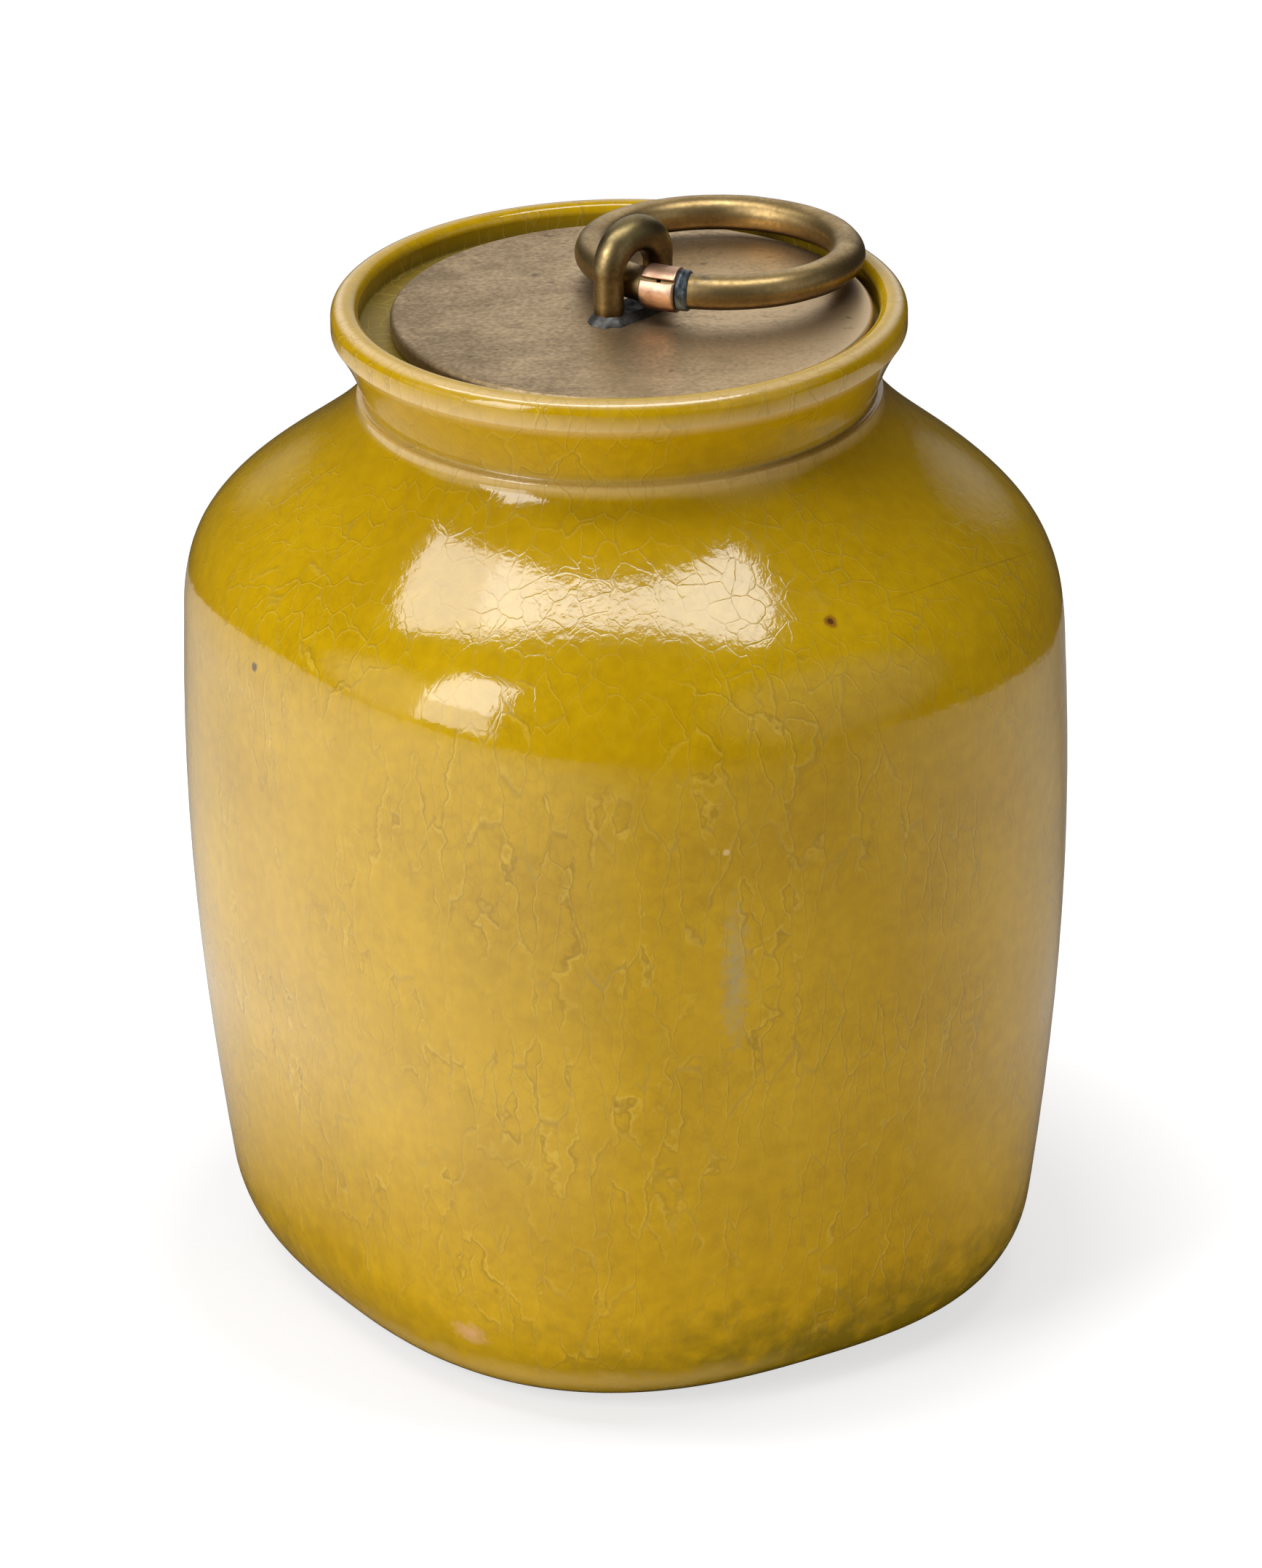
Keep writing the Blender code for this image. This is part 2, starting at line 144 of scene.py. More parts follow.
def vectorCalc(operation, *values):
    node = addNode(treeOf(values), "ShaderNodeVectorMath", {"operation": operation}, values)
    return node.outputs["Value"] if operation in ("LENGTH", "DOT_PRODUCT") else node.outputs[0]


def split(vector):
    return addNode(vector.id_data, "ShaderNodeSeparateXYZ", inputs=[vector]).outputs


def combine(*values):
    return addNode(treeOf(values), "ShaderNodeCombineXYZ", inputs=values).outputs[0]


def noiseValue(vector, scale, detail, **more):
    return addNode(vector.id_data, "ShaderNodeTexNoise", inputs={
        "Vector": vector, "Scale": scale, "Detail": detail, **more}).outputs["Fac"]


def newTree(name, kind, inputs, outputs):
    # Sockets are given by name, each with its default number or else its type
    tree = bpy.data.node_groups.new(name, kind)
    for direction, sockets in (("INPUT", inputs), ("OUTPUT", outputs)):
        for label, value in sockets.items():
            number = {int: "Int", float: "Float"}.get(type(value))
            made = tree.interface.new_socket(
                label, in_out=direction, socket_type="NodeSocket" + (number or value))
            if number:
                made.default_value = value
    return tree, tree.nodes.new("NodeGroupInput").outputs, tree.nodes.new("NodeGroupOutput").inputs


def endTree(tree, geometry, given, out):
    # Both geometry trees end smooth, realized and in their finish
    for kind, extra in (("SetShadeSmooth", {}), ("RealizeInstances", {}),
                        ("SetMaterial", {"Material": given["Finish"]})):
        geometry = addNode(tree, "GeometryNode" + kind, inputs={"Geometry": geometry, **extra}).outputs[0]
    connect(geometry, out["Geometry"])
    return tree


def runTree(name, tree, path, finish, settings):
    # Give a new object the tree, its inputs set by the settings of the same name (Corner Share
    # by cornerShare), and keep the result as a plain mesh. The path isn't needed after that.
    values = {"path": path, "finish": finish, **settings}
    holder = addObject(name, bpy.data.meshes.new(name + "Seed"))
    modifier = holder.modifiers.new("build", "NODES")
    modifier.node_group = tree
    for item in tree.interface.items_tree:
        setting = item.name[0].lower() + item.name[1:].replace(" ", "")
        if item.item_type == "SOCKET" and item.in_out == "INPUT" and setting in values:
            modifier[item.identifier] = values[setting]
    evaluated = holder.evaluated_get(bpy.context.evaluated_depsgraph_get())
    mesh = bpy.data.meshes.new_from_object(evaluated)
    mesh.name = name
    holder.modifiers.clear()
    seed = holder.data
    holder.data = mesh
    bpy.data.meshes.remove(seed)
    bpy.data.objects.remove(path, do_unlink=True)
    return holder


def pathObject(name, points, marks=None):
    # A chain of edges for a tree to read, with one number for each point under each mark's name
    mesh = bpy.data.meshes.new(name)
    edges = [(index, index + 1) for index in range(len(points) - 1)]
    mesh.from_pydata([tuple(point) for point in points], edges, [])
    for mark, values in (marks or {}).items():
        mesh.attributes.new(mark, "FLOAT", "POINT").data.foreach_set("value", values)
    holder = addObject(name, mesh)
    holder.hide_render = True
    return holder


# Thrown tree: turns an outline of half widths and rises round the Z axis. The section
# is a circle drawn out towards a square, most of all at the foot.

def makeThrownTree():
    tree, given, out = newTree("throwOnWheel", "GeometryNodeTree", {
        "Path": "Object", "Around": 64, "Corner Share": 0.0, "Slim Share": 0.0, "Round Rise": 1.0,
        "Square Fade": 1.3, "Slim Fade": 0.33, "Throw Depth": 0.0, "Throw Pitch": 0.006,
        "Throw Fade": 4.0, "Merge Distance": 0.000002, "Finish": "Material",
    }, {"Geometry": "Geometry"})
    outline = addNode(tree, "GeometryNodeObjectInfo", inputs={"Object": given["Path"]}).outputs["Geometry"]
    count = addNode(tree, "GeometryNodeAttributeDomainSize", inputs={
        "Geometry": outline}).outputs["Point Count"]
    geometry = addNode(tree, "GeometryNodeMeshGrid", inputs={
        "Size X": 1.0, "Size Y": 1.0, "Vertices X": plus(given["Around"], 1.0),
        "Vertices Y": count}).outputs["Mesh"]
    position = addNode(tree, "GeometryNodeInputPosition").outputs[0]
    place = split(position)
    angle = times(plus(place["X"], 0.5), 2 * pi)
    row = calc("ROUND", times(plus(place["Y"], 0.5), minus(count, 1.0)))

    def fromOutline(value, kind):
        sampled = addNode(tree, "GeometryNodeSampleIndex", {"data_type": kind, "domain": "POINT"}, {
            "Geometry": outline, "Value": value, "Index": row})
        return next(s for s in sampled.outputs if s.enabled)

    spot = split(fromOutline(position, "FLOAT_VECTOR"))
    half, rise = spot["X"], spot["Z"]
    for mark in ("thin", "bare", "pool"):
        named = addNode(tree, "GeometryNodeInputNamedAttribute", {"data_type": "FLOAT"}, {"Name": mark})
        geometry = addNode(tree, "GeometryNodeStoreNamedAttribute", {"data_type": "FLOAT", "domain": "POINT"}, {
            "Geometry": geometry, "Name": mark,
            "Value": fromOutline(named.outputs["Attribute"], "FLOAT")}).outputs[0]

    climbed = calc("DIVIDE", rise, given["Round Rise"], clamp=True)
    square = minus(1.0, calc("POWER", climbed, given["Square Fade"]))
    exponent = calc("MULTIPLY_ADD", given["Corner Share"], square, 2.0)
    slimPart = calc("MINIMUM", calc("DIVIDE", square, given["Slim Fade"]), 1.0)
    slim = times(given["Slim Share"], slimPart)
    across, along = calc("COSINE", angle), calc("SINE", angle)
    total = plus(*[calc("POWER", calc("ABSOLUTE", side), exponent) for side in (across, along)])
    spread = calc("POWER", total, calc("DIVIDE", -1.0, exponent))

    # Shallow rings left by the fingers, winding up and fading out towards the neck
    turns = plus(calc("DIVIDE", rise, given["Throw Pitch"]), calc("DIVIDE", angle, 2 * pi))
    wave = calc("SINE", times(turns, 2 * pi))
    fade = calc("MINIMUM", times(square, given["Throw Fade"]), 1.0)
    ridge = times(wave, given["Throw Depth"], fade)
    offAxis = calc("GREATER_THAN", half, 0.00001)
    reach = times(plus(half, ridge), spread, offAxis)
    thrown = combine(times(reach, across, minus(1.0, slim)),
                     times(reach, along, plus(1.0, slim)), rise)
    geometry = addNode(tree, "GeometryNodeSetPosition", inputs={
        "Geometry": geometry, "Position": thrown}).outputs[0]
    geometry = addNode(tree, "GeometryNodeMergeByDistance", inputs={
        "Geometry": geometry, "Distance": given["Merge Distance"]}).outputs[0]
    return endTree(tree, geometry, given, out)


# Bar tree: a bar swept along a path, its girth following the path's own numbers

def makeBarTree():
    tree, given, out = newTree("sweepBar", "GeometryNodeTree", {
        "Path": "Object", "Bar Radius": 0.002, "Around": 32, "Finish": "Material",
    }, {"Geometry": "Geometry"})
    path = addNode(tree, "GeometryNodeObjectInfo", inputs={"Object": given["Path"]}).outputs["Geometry"]
    curve = addNode(tree, "GeometryNodeMeshToCurve", inputs={"Mesh": path}).outputs[0]
    girth = addNode(tree, "GeometryNodeInputNamedAttribute", {"data_type": "FLOAT"}, {"Name": "girth"})
    section = addNode(tree, "GeometryNodeCurvePrimitiveCircle", inputs={
        "Resolution": given["Around"], "Radius": given["Bar Radius"]}).outputs[0]
    sweep = addNode(tree, "GeometryNodeCurveToMesh", inputs={
        "Curve": curve, "Profile Curve": section, "Scale": girth.outputs["Attribute"], "Fill Caps": True})
    return endTree(tree, sweep.outputs[0], given, out)


thrownTree = makeThrownTree()
barTree = makeBarTree()
print("geometry trees built")


# Shader groups shared by the finishes. They give out masks only.

groupSettings = Values({
    "patchScale": 55.0, "patchSlope": 4.0, "patchBase": -1.4, "spotGrain": 900.0, "broadShare": 0.22,
})


def makeCrazeGroup(s):
    # Fine cracks: the borders of cells, wandering a little, drawn out along Z
    tree, given, out = newTree("crazeLines", "ShaderNodeTree", {
        "Vector": "Vector", "Cells Per Metre": 200.0, "Stretch": 1.0, "Wander": 0.002,
        "Wander Scale": 120.0, "Width": 0.03, "Patchiness": 0.5,
    }, {"Line": "Float"})
    drift = addNode(tree, "ShaderNodeTexNoise", inputs={
        "Vector": given["Vector"], "Scale": given["Wander Scale"], "Detail": 3.0})
    centred = vectorCalc("SUBTRACT", drift.outputs["Color"], (0.5, 0.5, 0.5))
    offset = addNode(tree, "ShaderNodeVectorMath", {"operation": "SCALE"}, {
        "Vector": centred, "Scale": given["Wander"]}).outputs[0]
    moved = vectorCalc("ADD", given["Vector"], offset)
    placed = vectorCalc("MULTIPLY", moved, combine(1.0, 1.0, given["Stretch"]))
    cells = addNode(tree, "ShaderNodeTexVoronoi", {"feature": "DISTANCE_TO_EDGE"}, {
        "Vector": placed, "Scale": given["Cells Per Metre"]})
    away = calc("DIVIDE", cells.outputs["Distance"], given["Width"], clamp=True)
    patch = noiseValue(given["Vector"], s.patchScale, 2.0)
    faded = minus(1.0, line(patch, s.patchSlope, s.patchBase))
    amount = minus(1.0, times(given["Patchiness"], faded))
    connect(times(minus(1.0, away), amount), out["Line"])
    return tree


def makeSpotGroup(s):
    # A soft spot round one place, with a broken edge
    tree, given, out = newTree("softSpot", "ShaderNodeTree", {
        "Vector": "Vector", "Centre": "Vector", "Size": "Vector", "Raggedness": 0.0, "Softness": 0.5,
    }, {"Mask": "Float"})
    away = vectorCalc("DIVIDE", vectorCalc("SUBTRACT", given["Vector"], given["Centre"]), given["Size"])
    grain = noiseValue(given["Vector"], s.spotGrain, 3.0)
    rough = times(minus(grain, 0.5), given["Raggedness"])
    reach = minus(plus(1.0, rough), vectorCalc("LENGTH", away))
    connect(calc("DIVIDE", reach, given["Softness"], clamp=True), out["Mask"])
    return tree


def makeTarnishGroup():
    # Cloudy patches with finer grain in them, from 0 bright to 1 dark
    tree, given, out = newTree("tarnishClouds", "ShaderNodeTree", {
        "Vector": "Vector", "Cloud Scale": 60.0, "Grain Scale": 700.0, "Grain Share": 0.3,
        "Contrast": 2.0,
    }, {"Mask": "Float"})
    mixed = addNode(tree, "ShaderNodeMix", {"data_type": "FLOAT"}, {
        "Factor": given["Grain Share"], "A": noiseValue(given["Vector"], given["Cloud Scale"], 4.0),
        "B": noiseValue(given["Vector"], given["Grain Scale"], 3.0)}).outputs["Result"]
    centred = times(minus(mixed, 0.5), given["Contrast"])
    connect(calc("ADD", centred, 0.5, clamp=True), out["Mask"])
    return tree


def makeBrushGroup(s):
    # Fine lines drawn along X of the given vector
    tree, given, out = newTree("brushMarks", "ShaderNodeTree", {
        "Vector": "Vector", "Lines Per Metre": 3000.0, "Length Share": 0.03,
    }, {"Marks": "Float"})
    placed = vectorCalc("MULTIPLY", given["Vector"], combine(given["Length Share"], 1.0, 1.0))
    fine = noiseValue(placed, given["Lines Per Metre"], 2.0)
    broad = noiseValue(placed, times(given["Lines Per Metre"], s.broadShare), 3.0)
    connect(times(plus(fine, broad), 0.5), out["Marks"])
    return tree


crazeGroup = makeCrazeGroup(groupSettings)
spotGroup = makeSpotGroup(groupSettings)
tarnishGroup = makeTarnishGroup()
brushGroup = makeBrushGroup(groupSettings)


def newFinish(name):
    material = bpy.data.materials.new(name)
    material.use_nodes = True
    tree = material.node_tree
    shader = tree.nodes["Principled BSDF"]
    place = addNode(tree, "ShaderNodeTexCoord").outputs["Object"]
    return material, tree, shader, place


def useGroup(group, place, values):
    return addNode(place.id_data, "ShaderNodeGroup", {"node_tree": group}, {
        "Vector": place, **values}).outputs[0]


def addSpot(place, centre, size, raggedness, softness):
    return useGroup(spotGroup, place, {
        "Centre": centre, "Size": size, "Raggedness": raggedness, "Softness": softness})


def blendColour(amount, first, second):
    node = addNode(amount.id_data, "ShaderNodeMix", {"data_type": "RGBA"}, {
        "Factor": amount, "A": first, "B": second})
    return next(s for s in node.outputs if s.enabled)


def endFinish(tree, shader, colour, rough, height, strength=1.0, distance=1.0):
    bump = addNode(tree, "ShaderNodeBump", inputs={
        "Strength": strength, "Distance": distance, "Height": height})
    for name, value in (("Base Color", colour), ("Roughness", rough), ("Normal", bump.outputs["Normal"])):
        connect(value, shader.inputs[name])


# Glaze

glazeSettings = Values({
    "thick": (0.42, 0.246, 0.001, 1), "mustard": (0.63, 0.395, 0.003, 1),
    # Two of these stand for light: the pale one is partly a painted highlight at the crest, and the dark brown
    # one is painted shade over the shoulder
    "thin": (0.74, 0.53, 0.24, 1), "settled": (0.30, 0.17, 0.001, 1),
    # The pool colour is pooled glaze, and painted shade where it darkens the ledge round the lid
    "pool": (0.175, 0.122, 0.003, 1), "crack": (0.16, 0.085, 0.004, 1),
    # The pale colour laid beside the wide cracks is a painted highlight
    "crackEdge": (0.90, 0.66, 0.12, 1), "clay": (0.32, 0.22, 0.13, 1),
    "speck": (0.05, 0.02, 0.01, 1), "scuff": (0.28, 0.32, 0.28, 1),
    "pink": (0.62, 0.36, 0.20, 1), "rust": (0.26, 0.10, 0.01, 1),
    # The darkest foot colour is painted contact shade along the foot's bottom edge
    "footPale": (0.60, 0.42, 0.13, 1), "footEdge": (0.085, 0.060, 0.008, 1),
    # What lies over the mustard, from first to last: its mask, its colour and its strength
    "layers": (
        ("thin", "thin", 1.0), ("pool", "pool", 1.0), ("crackEdges", "crackEdge", 0.24),
        ("cracks", "crack", 0.38), ("settled", "settled", 0.20), ("longLine", "crack", 0.35),
        ("footPool", "pool", 1.0), ("footBand", "footPale", 0.40), ("flecks", "footPale", 0.6),
        ("footEdge", "footEdge", 0.85), ("rustHalo", "rust", 0.8), ("rustHeart", "speck", 0.8),
        ("leftSpeck", "speck", 0.8), ("paleSpeck", "thin", 0.8), ("scuff", "scuff", 0.42),
        ("pink", "pink", 0.7), ("bare", "clay", 1.0),
    ),
    # Spots: centre, size, raggedness and softness
    "spots": {
        "longLine": ((0.030, -0.053, 0.126), (0.026, 0.026, 0.026), 0.5, 0.5),
        "rustHalo": ((0.0004, -0.0594, 0.1280), (0.0013, 0.0013, 0.0013), 0.8, 0.4),
        "rustHeart": ((0.0004, -0.0594, 0.1280), (0.0006, 0.0006, 0.0006), 0.8, 0.4),
        "leftSpeck": ((-0.0652, 0.0005, 0.1144), (0.0009, 0.0009, 0.0009), 0.8, 0.4),
        "paleSpeck": ((-0.0226, -0.0663, 0.0984), (0.0007, 0.0007, 0.0007), 0.8, 0.4),
        "scuff": ((-0.0213, -0.0663, 0.0779), (0.0026, 0.004, 0.0145), 1.5, 1.1),
        "pink": ((-0.0510, -0.0364, 0.0127), (0.004, 0.004, 0.0022), 1.2, 0.8),
    },
    "clouds": {"Cloud Scale": 40.0, "Grain Scale": 420.0, "Grain Share": 0.40, "Contrast": 2.0},
    "wideCracks": {"Cells Per Metre": 290.0, "Stretch": 0.17, "Wander": 0.0035, "Wander Scale": 190.0,
                   "Width": 0.045, "Patchiness": 0.85},
    "netCracks": {"Cells Per Metre": 430.0, "Stretch": 0.45, "Wander": 0.004, "Wander Scale": 300.0,
                  "Width": 0.07, "Patchiness": 1.0},
    # The shift moves the painted highlight a little off the wide cracks
    "netShare": 0.35, "crackShift": (0.00016, 0.00010, 0.0), "crackDepth": 0.000010,
    "linePlane": (-0.0668, 0.4902, 0.8693), "lineOffset": 0.08245, "lineSlope": -6500.0,
    # Ramps over the rise: where they are 0, and their slope
    # The shoulder ramps bound a band of painted shade
    "settledFoot": (0.123, 60.0), "settledTop": (0.1450, -700.0),
    # Which way the foot's sides face, with the slope and base of their masks
    "footLeft": ((-0.80, -0.60, 0.0), 5.0, -3.2), "footRight": ((0.55, -0.84, 0.0), 1.6, -0.2),
    # At the foot: the slope over the rise, then the share and base of the broken noise
    "footPool": (-72.0, 2.2, 0.30), "footBand": (-420.0, 2.4, 0.0), "footEdgeFall": (-520.0, 1.6, 0.9),
    # The pool's share to the right is painted shade; its share all round is pooled glaze
    "bandRise": 0.0055, "poolRight": 0.50, "poolAll": 0.42, "brokenScale": 200.0, "brokenRoughness": 0.62,
    "fleckScale": 620.0, "fleckShow": (9.0, -5.4), "fleckFall": (-330.0, 1.6),
    "gloss": 0.085, "roughened": {"cracks": 0.10, "scuff": 0.2, "pool": 0.5, "bare": 0.7},
    "peelScale": 620.0, "peelDepth": 0.000035, "ior": 1.55,
})


def makeGlaze(s):
    material, tree, shader, place = newFinish("mustardGlaze")
    masks = {name: addSpot(place, *spot) for name, spot in s.spots.items()}
    for name in ("thin", "pool", "bare"):
        masks[name] = addNode(tree, "ShaderNodeAttribute", {"attribute_name": name}).outputs["Fac"]

    # Wide cracks with a painted highlight beside them, a finer net, and one long line that runs
    # level across the right of the shoulder
    wide, net = [useGroup(crazeGroup, place, s[kind]) for kind in ("wideCracks", "netCracks")]
    masks["cracks"] = calc("MAXIMUM", wide, times(net, s.netShare))
    masks["crackEdges"] = useGroup(crazeGroup, vectorCalc("ADD", place, s.crackShift), s.wideCracks)
    offLine = calc("ABSOLUTE", minus(vectorCalc("DOT_PRODUCT", place, s.linePlane), s.lineOffset))
    masks["longLine"] = times(line(offLine, s.lineSlope, 1.0), masks["longLine"])

    # Painted shade: darker over the slope of the shoulder
    rise = split(place)["Z"]
    masks["settled"] = calc("MINIMUM", ramp(rise, *s.settledFoot), ramp(rise, *s.settledTop))

    # The foot: a dark bottom edge of painted contact shade, a pale band to the left, pale flecks, and green
    # pooled glaze all round, deepened to the right by painted shade
    flat = vectorCalc("NORMALIZE", vectorCalc("MULTIPLY", place, (1.0, 1.0, 0.0)))
    toLeft, toShadedSide = [line(vectorCalc("DOT_PRODUCT", flat, facing), slope, base)
                       for facing, slope, base in (s.footLeft, s.footRight)]
    broken = noiseValue(place, s.brokenScale, 6.0, Roughness=s.brokenRoughness)

    def brokenFall(distance, slope, share, base):
        return line(distance, slope, calc("MULTIPLY_ADD", broken, share, base))

    # Pooled glaze all round, with painted shade added towards the right
    masks["footPool"] = times(brokenFall(rise, *s.footPool),
                              calc("MULTIPLY_ADD", toShadedSide, s.poolRight, s.poolAll))
    offBand = calc("ABSOLUTE", minus(rise, s.bandRise))
    masks["footBand"] = times(brokenFall(offBand, *s.footBand), toLeft)
    flecks = line(noiseValue(place, s.fleckScale, 2.0), *s.fleckShow)
    masks["flecks"] = times(flecks, line(rise, *s.fleckFall))
    # Painted contact shade along the bottom edge of the foot
    masks["footEdge"] = brokenFall(rise, *s.footEdgeFall)

    colour = blendColour(useGroup(tarnishGroup, place, s.clouds), s.mustard, s.thick)
    for mask, name, strength in s.layers:
        colour = blendColour(times(masks[mask], strength), colour, s[name])
    rough = s.gloss
    for mask, share in s.roughened.items():
        rough = line(masks[mask], share, rough)
    depth = calc("MULTIPLY_ADD", noiseValue(place, s.peelScale, 3.0), s.peelDepth,
                 times(masks["cracks"], -s.crackDepth))
    endFinish(tree, shader, colour, rough, depth)
    shader.inputs["IOR"].default_value = s.ior
    return material


# Metals. All but the lid's share the first row, which their own rows can overrule.

metalSettings = Values({
    # Each under colour below is painted shade, laid where a surface faces down
    "shared": {"grainScale": 1500.0, "grainShare": 0.35, "fade": 900.0, "crownShare": 0.6, "feetShare": 0.8,
               "stainShare": 0.75, "underSlope": -1.5, "underBase": 0.05, "underShare": 0.85,
               "roughClouds": 0.2, "dentScale": 900.0, "dentStrength": 0.3, "dentDepth": 0.0001},
    "barBronze": {
        "bright": (0.60, 0.43, 0.19, 1), "dark": (0.20, 0.125, 0.045, 1), "under": (0.09, 0.045, 0.015, 1),
        "stain": (0.07, 0.08, 0.085, 1),
        "stainSpot": ((0.0072, -0.0130, 0.1648), (0.0026, 0.0026, 0.0034), 1.4, 0.8),
        "rough": 0.31, "cloudScale": 130.0, "contrast": 2.2},
    "stapleBronze": {
        "bright": (0.50, 0.37, 0.17, 1), "dark": (0.15, 0.10, 0.04, 1), "under": (0.09, 0.045, 0.015, 1),
        "crown": (0.20, 0.16, 0.07, 1), "crownFrom": 0.1712, "feetFrom": 0.1622,
        "rough": 0.33, "cloudScale": 170.0, "contrast": 2.6},
    "sleeveCopper": {
        "bright": (0.82, 0.56, 0.40, 1), "dark": (0.42, 0.22, 0.13, 1), "under": (0.20, 0.09, 0.04, 1),
        "rough": 0.30, "cloudScale": 300.0, "contrast": 1.8},
    "lidSolder": {
        "bright": (0.17, 0.17, 0.165, 1), "dark": (0.045, 0.04, 0.035, 1),
        "rough": 0.55, "cloudScale": 420.0, "contrast": 3.0},
    "collarSolder": {
        "bright": (0.24, 0.29, 0.33, 1), "dark": (0.04, 0.045, 0.05, 1),
        "rough": 0.42, "cloudScale": 420.0, "contrast": 3.0},
})
lidFinishSettings = Values({
    "bright": (0.64, 0.47, 0.27, 1), "dark": (0.29, 0.205, 0.11, 1), "nick": (0.10, 0.06, 0.03, 1),
    "clouds": {"Cloud Scale": 110.0, "Grain Scale": 1300.0, "Grain Share": 0.50, "Contrast": 3.0},
    "marks": {"Lines Per Metre": 3300.0, "Length Share": 0.22}, "markTurn": 31.5,
    # The slope across the lid is painted shade and light, darker to one side
    "wear": (-11.0, 6.7, 0.0), "markShare": 1.1, "cloudShare": 0.85,
    "nickScale": 420.0, "nickShow": (9.0, -5.9), "nickShare": 0.6,
    "rough": 0.40, "roughDark": 0.15, "markStrength": 0.25, "markDepth": 0.0001,
})


def makeMetal(name):
    s = Values({**metalSettings["shared"], **metalSettings[name]})
    material, tree, shader, place = newFinish(name)
    clouds = useGroup(tarnishGroup, place, {
        "Cloud Scale": s.cloudScale, "Grain Scale": s.grainScale, "Grain Share": s.grainShare,
        "Contrast": s.contrast})
    colour = blendColour(clouds, s.bright, s.dark)
    if "crown" in s:
        # Worn darker over the crown, and brown down at the feet
        rise = split(place)["Z"]
        worn = times(ramp(rise, s.crownFrom, s.fade), s.crownShare)
        feet = times(ramp(rise, s.feetFrom, -s.fade), s.feetShare)
        colour = blendColour(feet, blendColour(worn, colour, s.crown), s.under)
    if "stain" in s:
        stain = times(addSpot(place, *s.stainSpot), s.stainShare)
        colour = blendColour(stain, colour, s.stain)
    if "under" in s:
        # Painted shade: darker brown where the surface faces down, as the object lies at rest
        facing = split(addNode(tree, "ShaderNodeTexCoord").outputs["Normal"])["Z"]
        under = times(line(facing, s.underSlope, s.underBase), s.underShare)
        colour = blendColour(under, colour, s.under)
    rough = plus(s.rough, times(clouds, s.roughClouds))
    dents = noiseValue(place, s.dentScale, 3.0)
    endFinish(tree, shader, colour, rough, dents, s.dentStrength, s.dentDepth)
    shader.inputs["Metallic"].default_value = 1.0
    return material


def makeLidFinish(s):
    # Brushed one way, with painted shade darker to one side and lighter to the other, clouds and small dark
    # nicks
    material, tree, shader, place = newFinish("brushedBronze")
    turned = addNode(tree, "ShaderNodeMapping", inputs={
        "Vector": place, "Rotation": (0.0, 0.0, radians(s.markTurn))}).outputs[0]
    marks = useGroup(brushGroup, turned, s.marks)
    clouds = useGroup(tarnishGroup, place, s.clouds)
    # Painted shade and light across the lid, under the brush marks and clouds
    amount = calc("MULTIPLY_ADD", minus(marks, 0.5), s.markShare,
                  vectorCalc("DOT_PRODUCT", place, s.wear))
    amount = line(clouds, s.cloudShare, amount)
    colour = blendColour(amount, s.bright, s.dark)
    nicks = line(noiseValue(turned, s.nickScale, 2.0), *s.nickShow)
    colour = blendColour(times(nicks, s.nickShare), colour, s.nick)
    rough = plus(s.rough, times(amount, s.roughDark))
    endFinish(tree, shader, colour, rough, marks, s.markStrength, s.markDepth)
    shader.inputs["Metallic"].default_value = 1.0
    return material


mustardGlaze = makeGlaze(glazeSettings)
brushedBronze = makeLidFinish(lidFinishSettings)
metals = {name: makeMetal(name) for name in metalSettings if name != "shared"}
print("finishes made:", len(metals) + 2)


# Jar

jarSettings = Values({
    "around": 288,
    "foot": 0.0492, "heel": 0.0597, "belly": 0.0674, "shoulder": 0.0555, "neckRoot": 0.0412,
    "band": 0.0406, "neck": 0.0395, "lip": 0.04425, "crest": 0.0417, "well": 0.0400, "throat": 0.0335,
    "heelRise": 0.0145, "bellyRise": 0.1080, "shoulderRise": 0.1306, "neckRootRise": 0.1436,
    "bandRise": 0.1460, "neckRise": 0.1466, "lipEdgeRise": 0.1560, "lipFootRise": 0.1566,
    "lipRise": 0.1586, "crestRise": 0.1608, "ledgeRise": 0.1564, "throatRise": 0.1460,
    "footHeading": 15.0, "heelHeading": 81.5, "shoulderHeading": 141.9, "rootHeading": 128.0,
    "bandHeading": 95.0, "neckHeading": 70.0, "undersideHeading": 56.0,
    "bandRound": 0.0004, "edgeRound": 0.0006, "lipRoll": 0.0017, "ledgeRound": 0.0009, "wellCorner": 0.0005,
    "wall": 0.0055, "floor": 0.0085, "floorRound": 0.0085, "ringWidth": 0.0090, "recess": 0.0018,
    "recessSlope": 0.0022, "recessRound": 0.0006, "recessSink": 0.0001,
    "footRounding": ((0.0004, 0.00005), (0.0, 0.0002)), "footFlat": 0.0012,
    "cornerShare": 0.62, "slimShare": 0.0315, "squareFade": 1.27, "slimFade": 0.33,
    "throwDepth": 0.00001, "throwPitch": 0.0075,
    # Thin glaze, and a painted highlight along the crest's outer top: how far off the crest it lies, then each
    # place's strength and reach
    "crestShift": (0.0014, -0.0003), "thinCrest": (1.0, 0.0009), "thinBand": (0.55, 0.0018),
    "thinEdge": (0.60, 0.0018), "thinShare": 0.95,
    # Pooled glaze, and painted shade on the ledge in the gap round the lid: how far above the neck's foot it
    # lies, then each place's strength and reach
    "poolShift": 0.0004, "poolNeck": (0.2, 0.0012), "poolLedge": (3.0, 0.0046), "poolShare": 0.9,
})


def heading(angle):
    return Vector((cos(radians(angle)), sin(radians(angle))))


def span(start, leaving, end, arriving, share=0.36, steps=12):
    # Points of a smooth curve after start, up to and with end
    start, end = Vector(start), Vector(end)
    reach = (end - start).length * share
    return interpolate_bezier(start, start + heading(leaving) * reach,
                              end - heading(arriving) * reach, end, steps + 1)[1:]


def quarter(start, leaving, end, arriving, steps):
    # A rounded corner, close to a quarter of a circle
    return span(start, leaving, end, arriving, 0.39, steps)


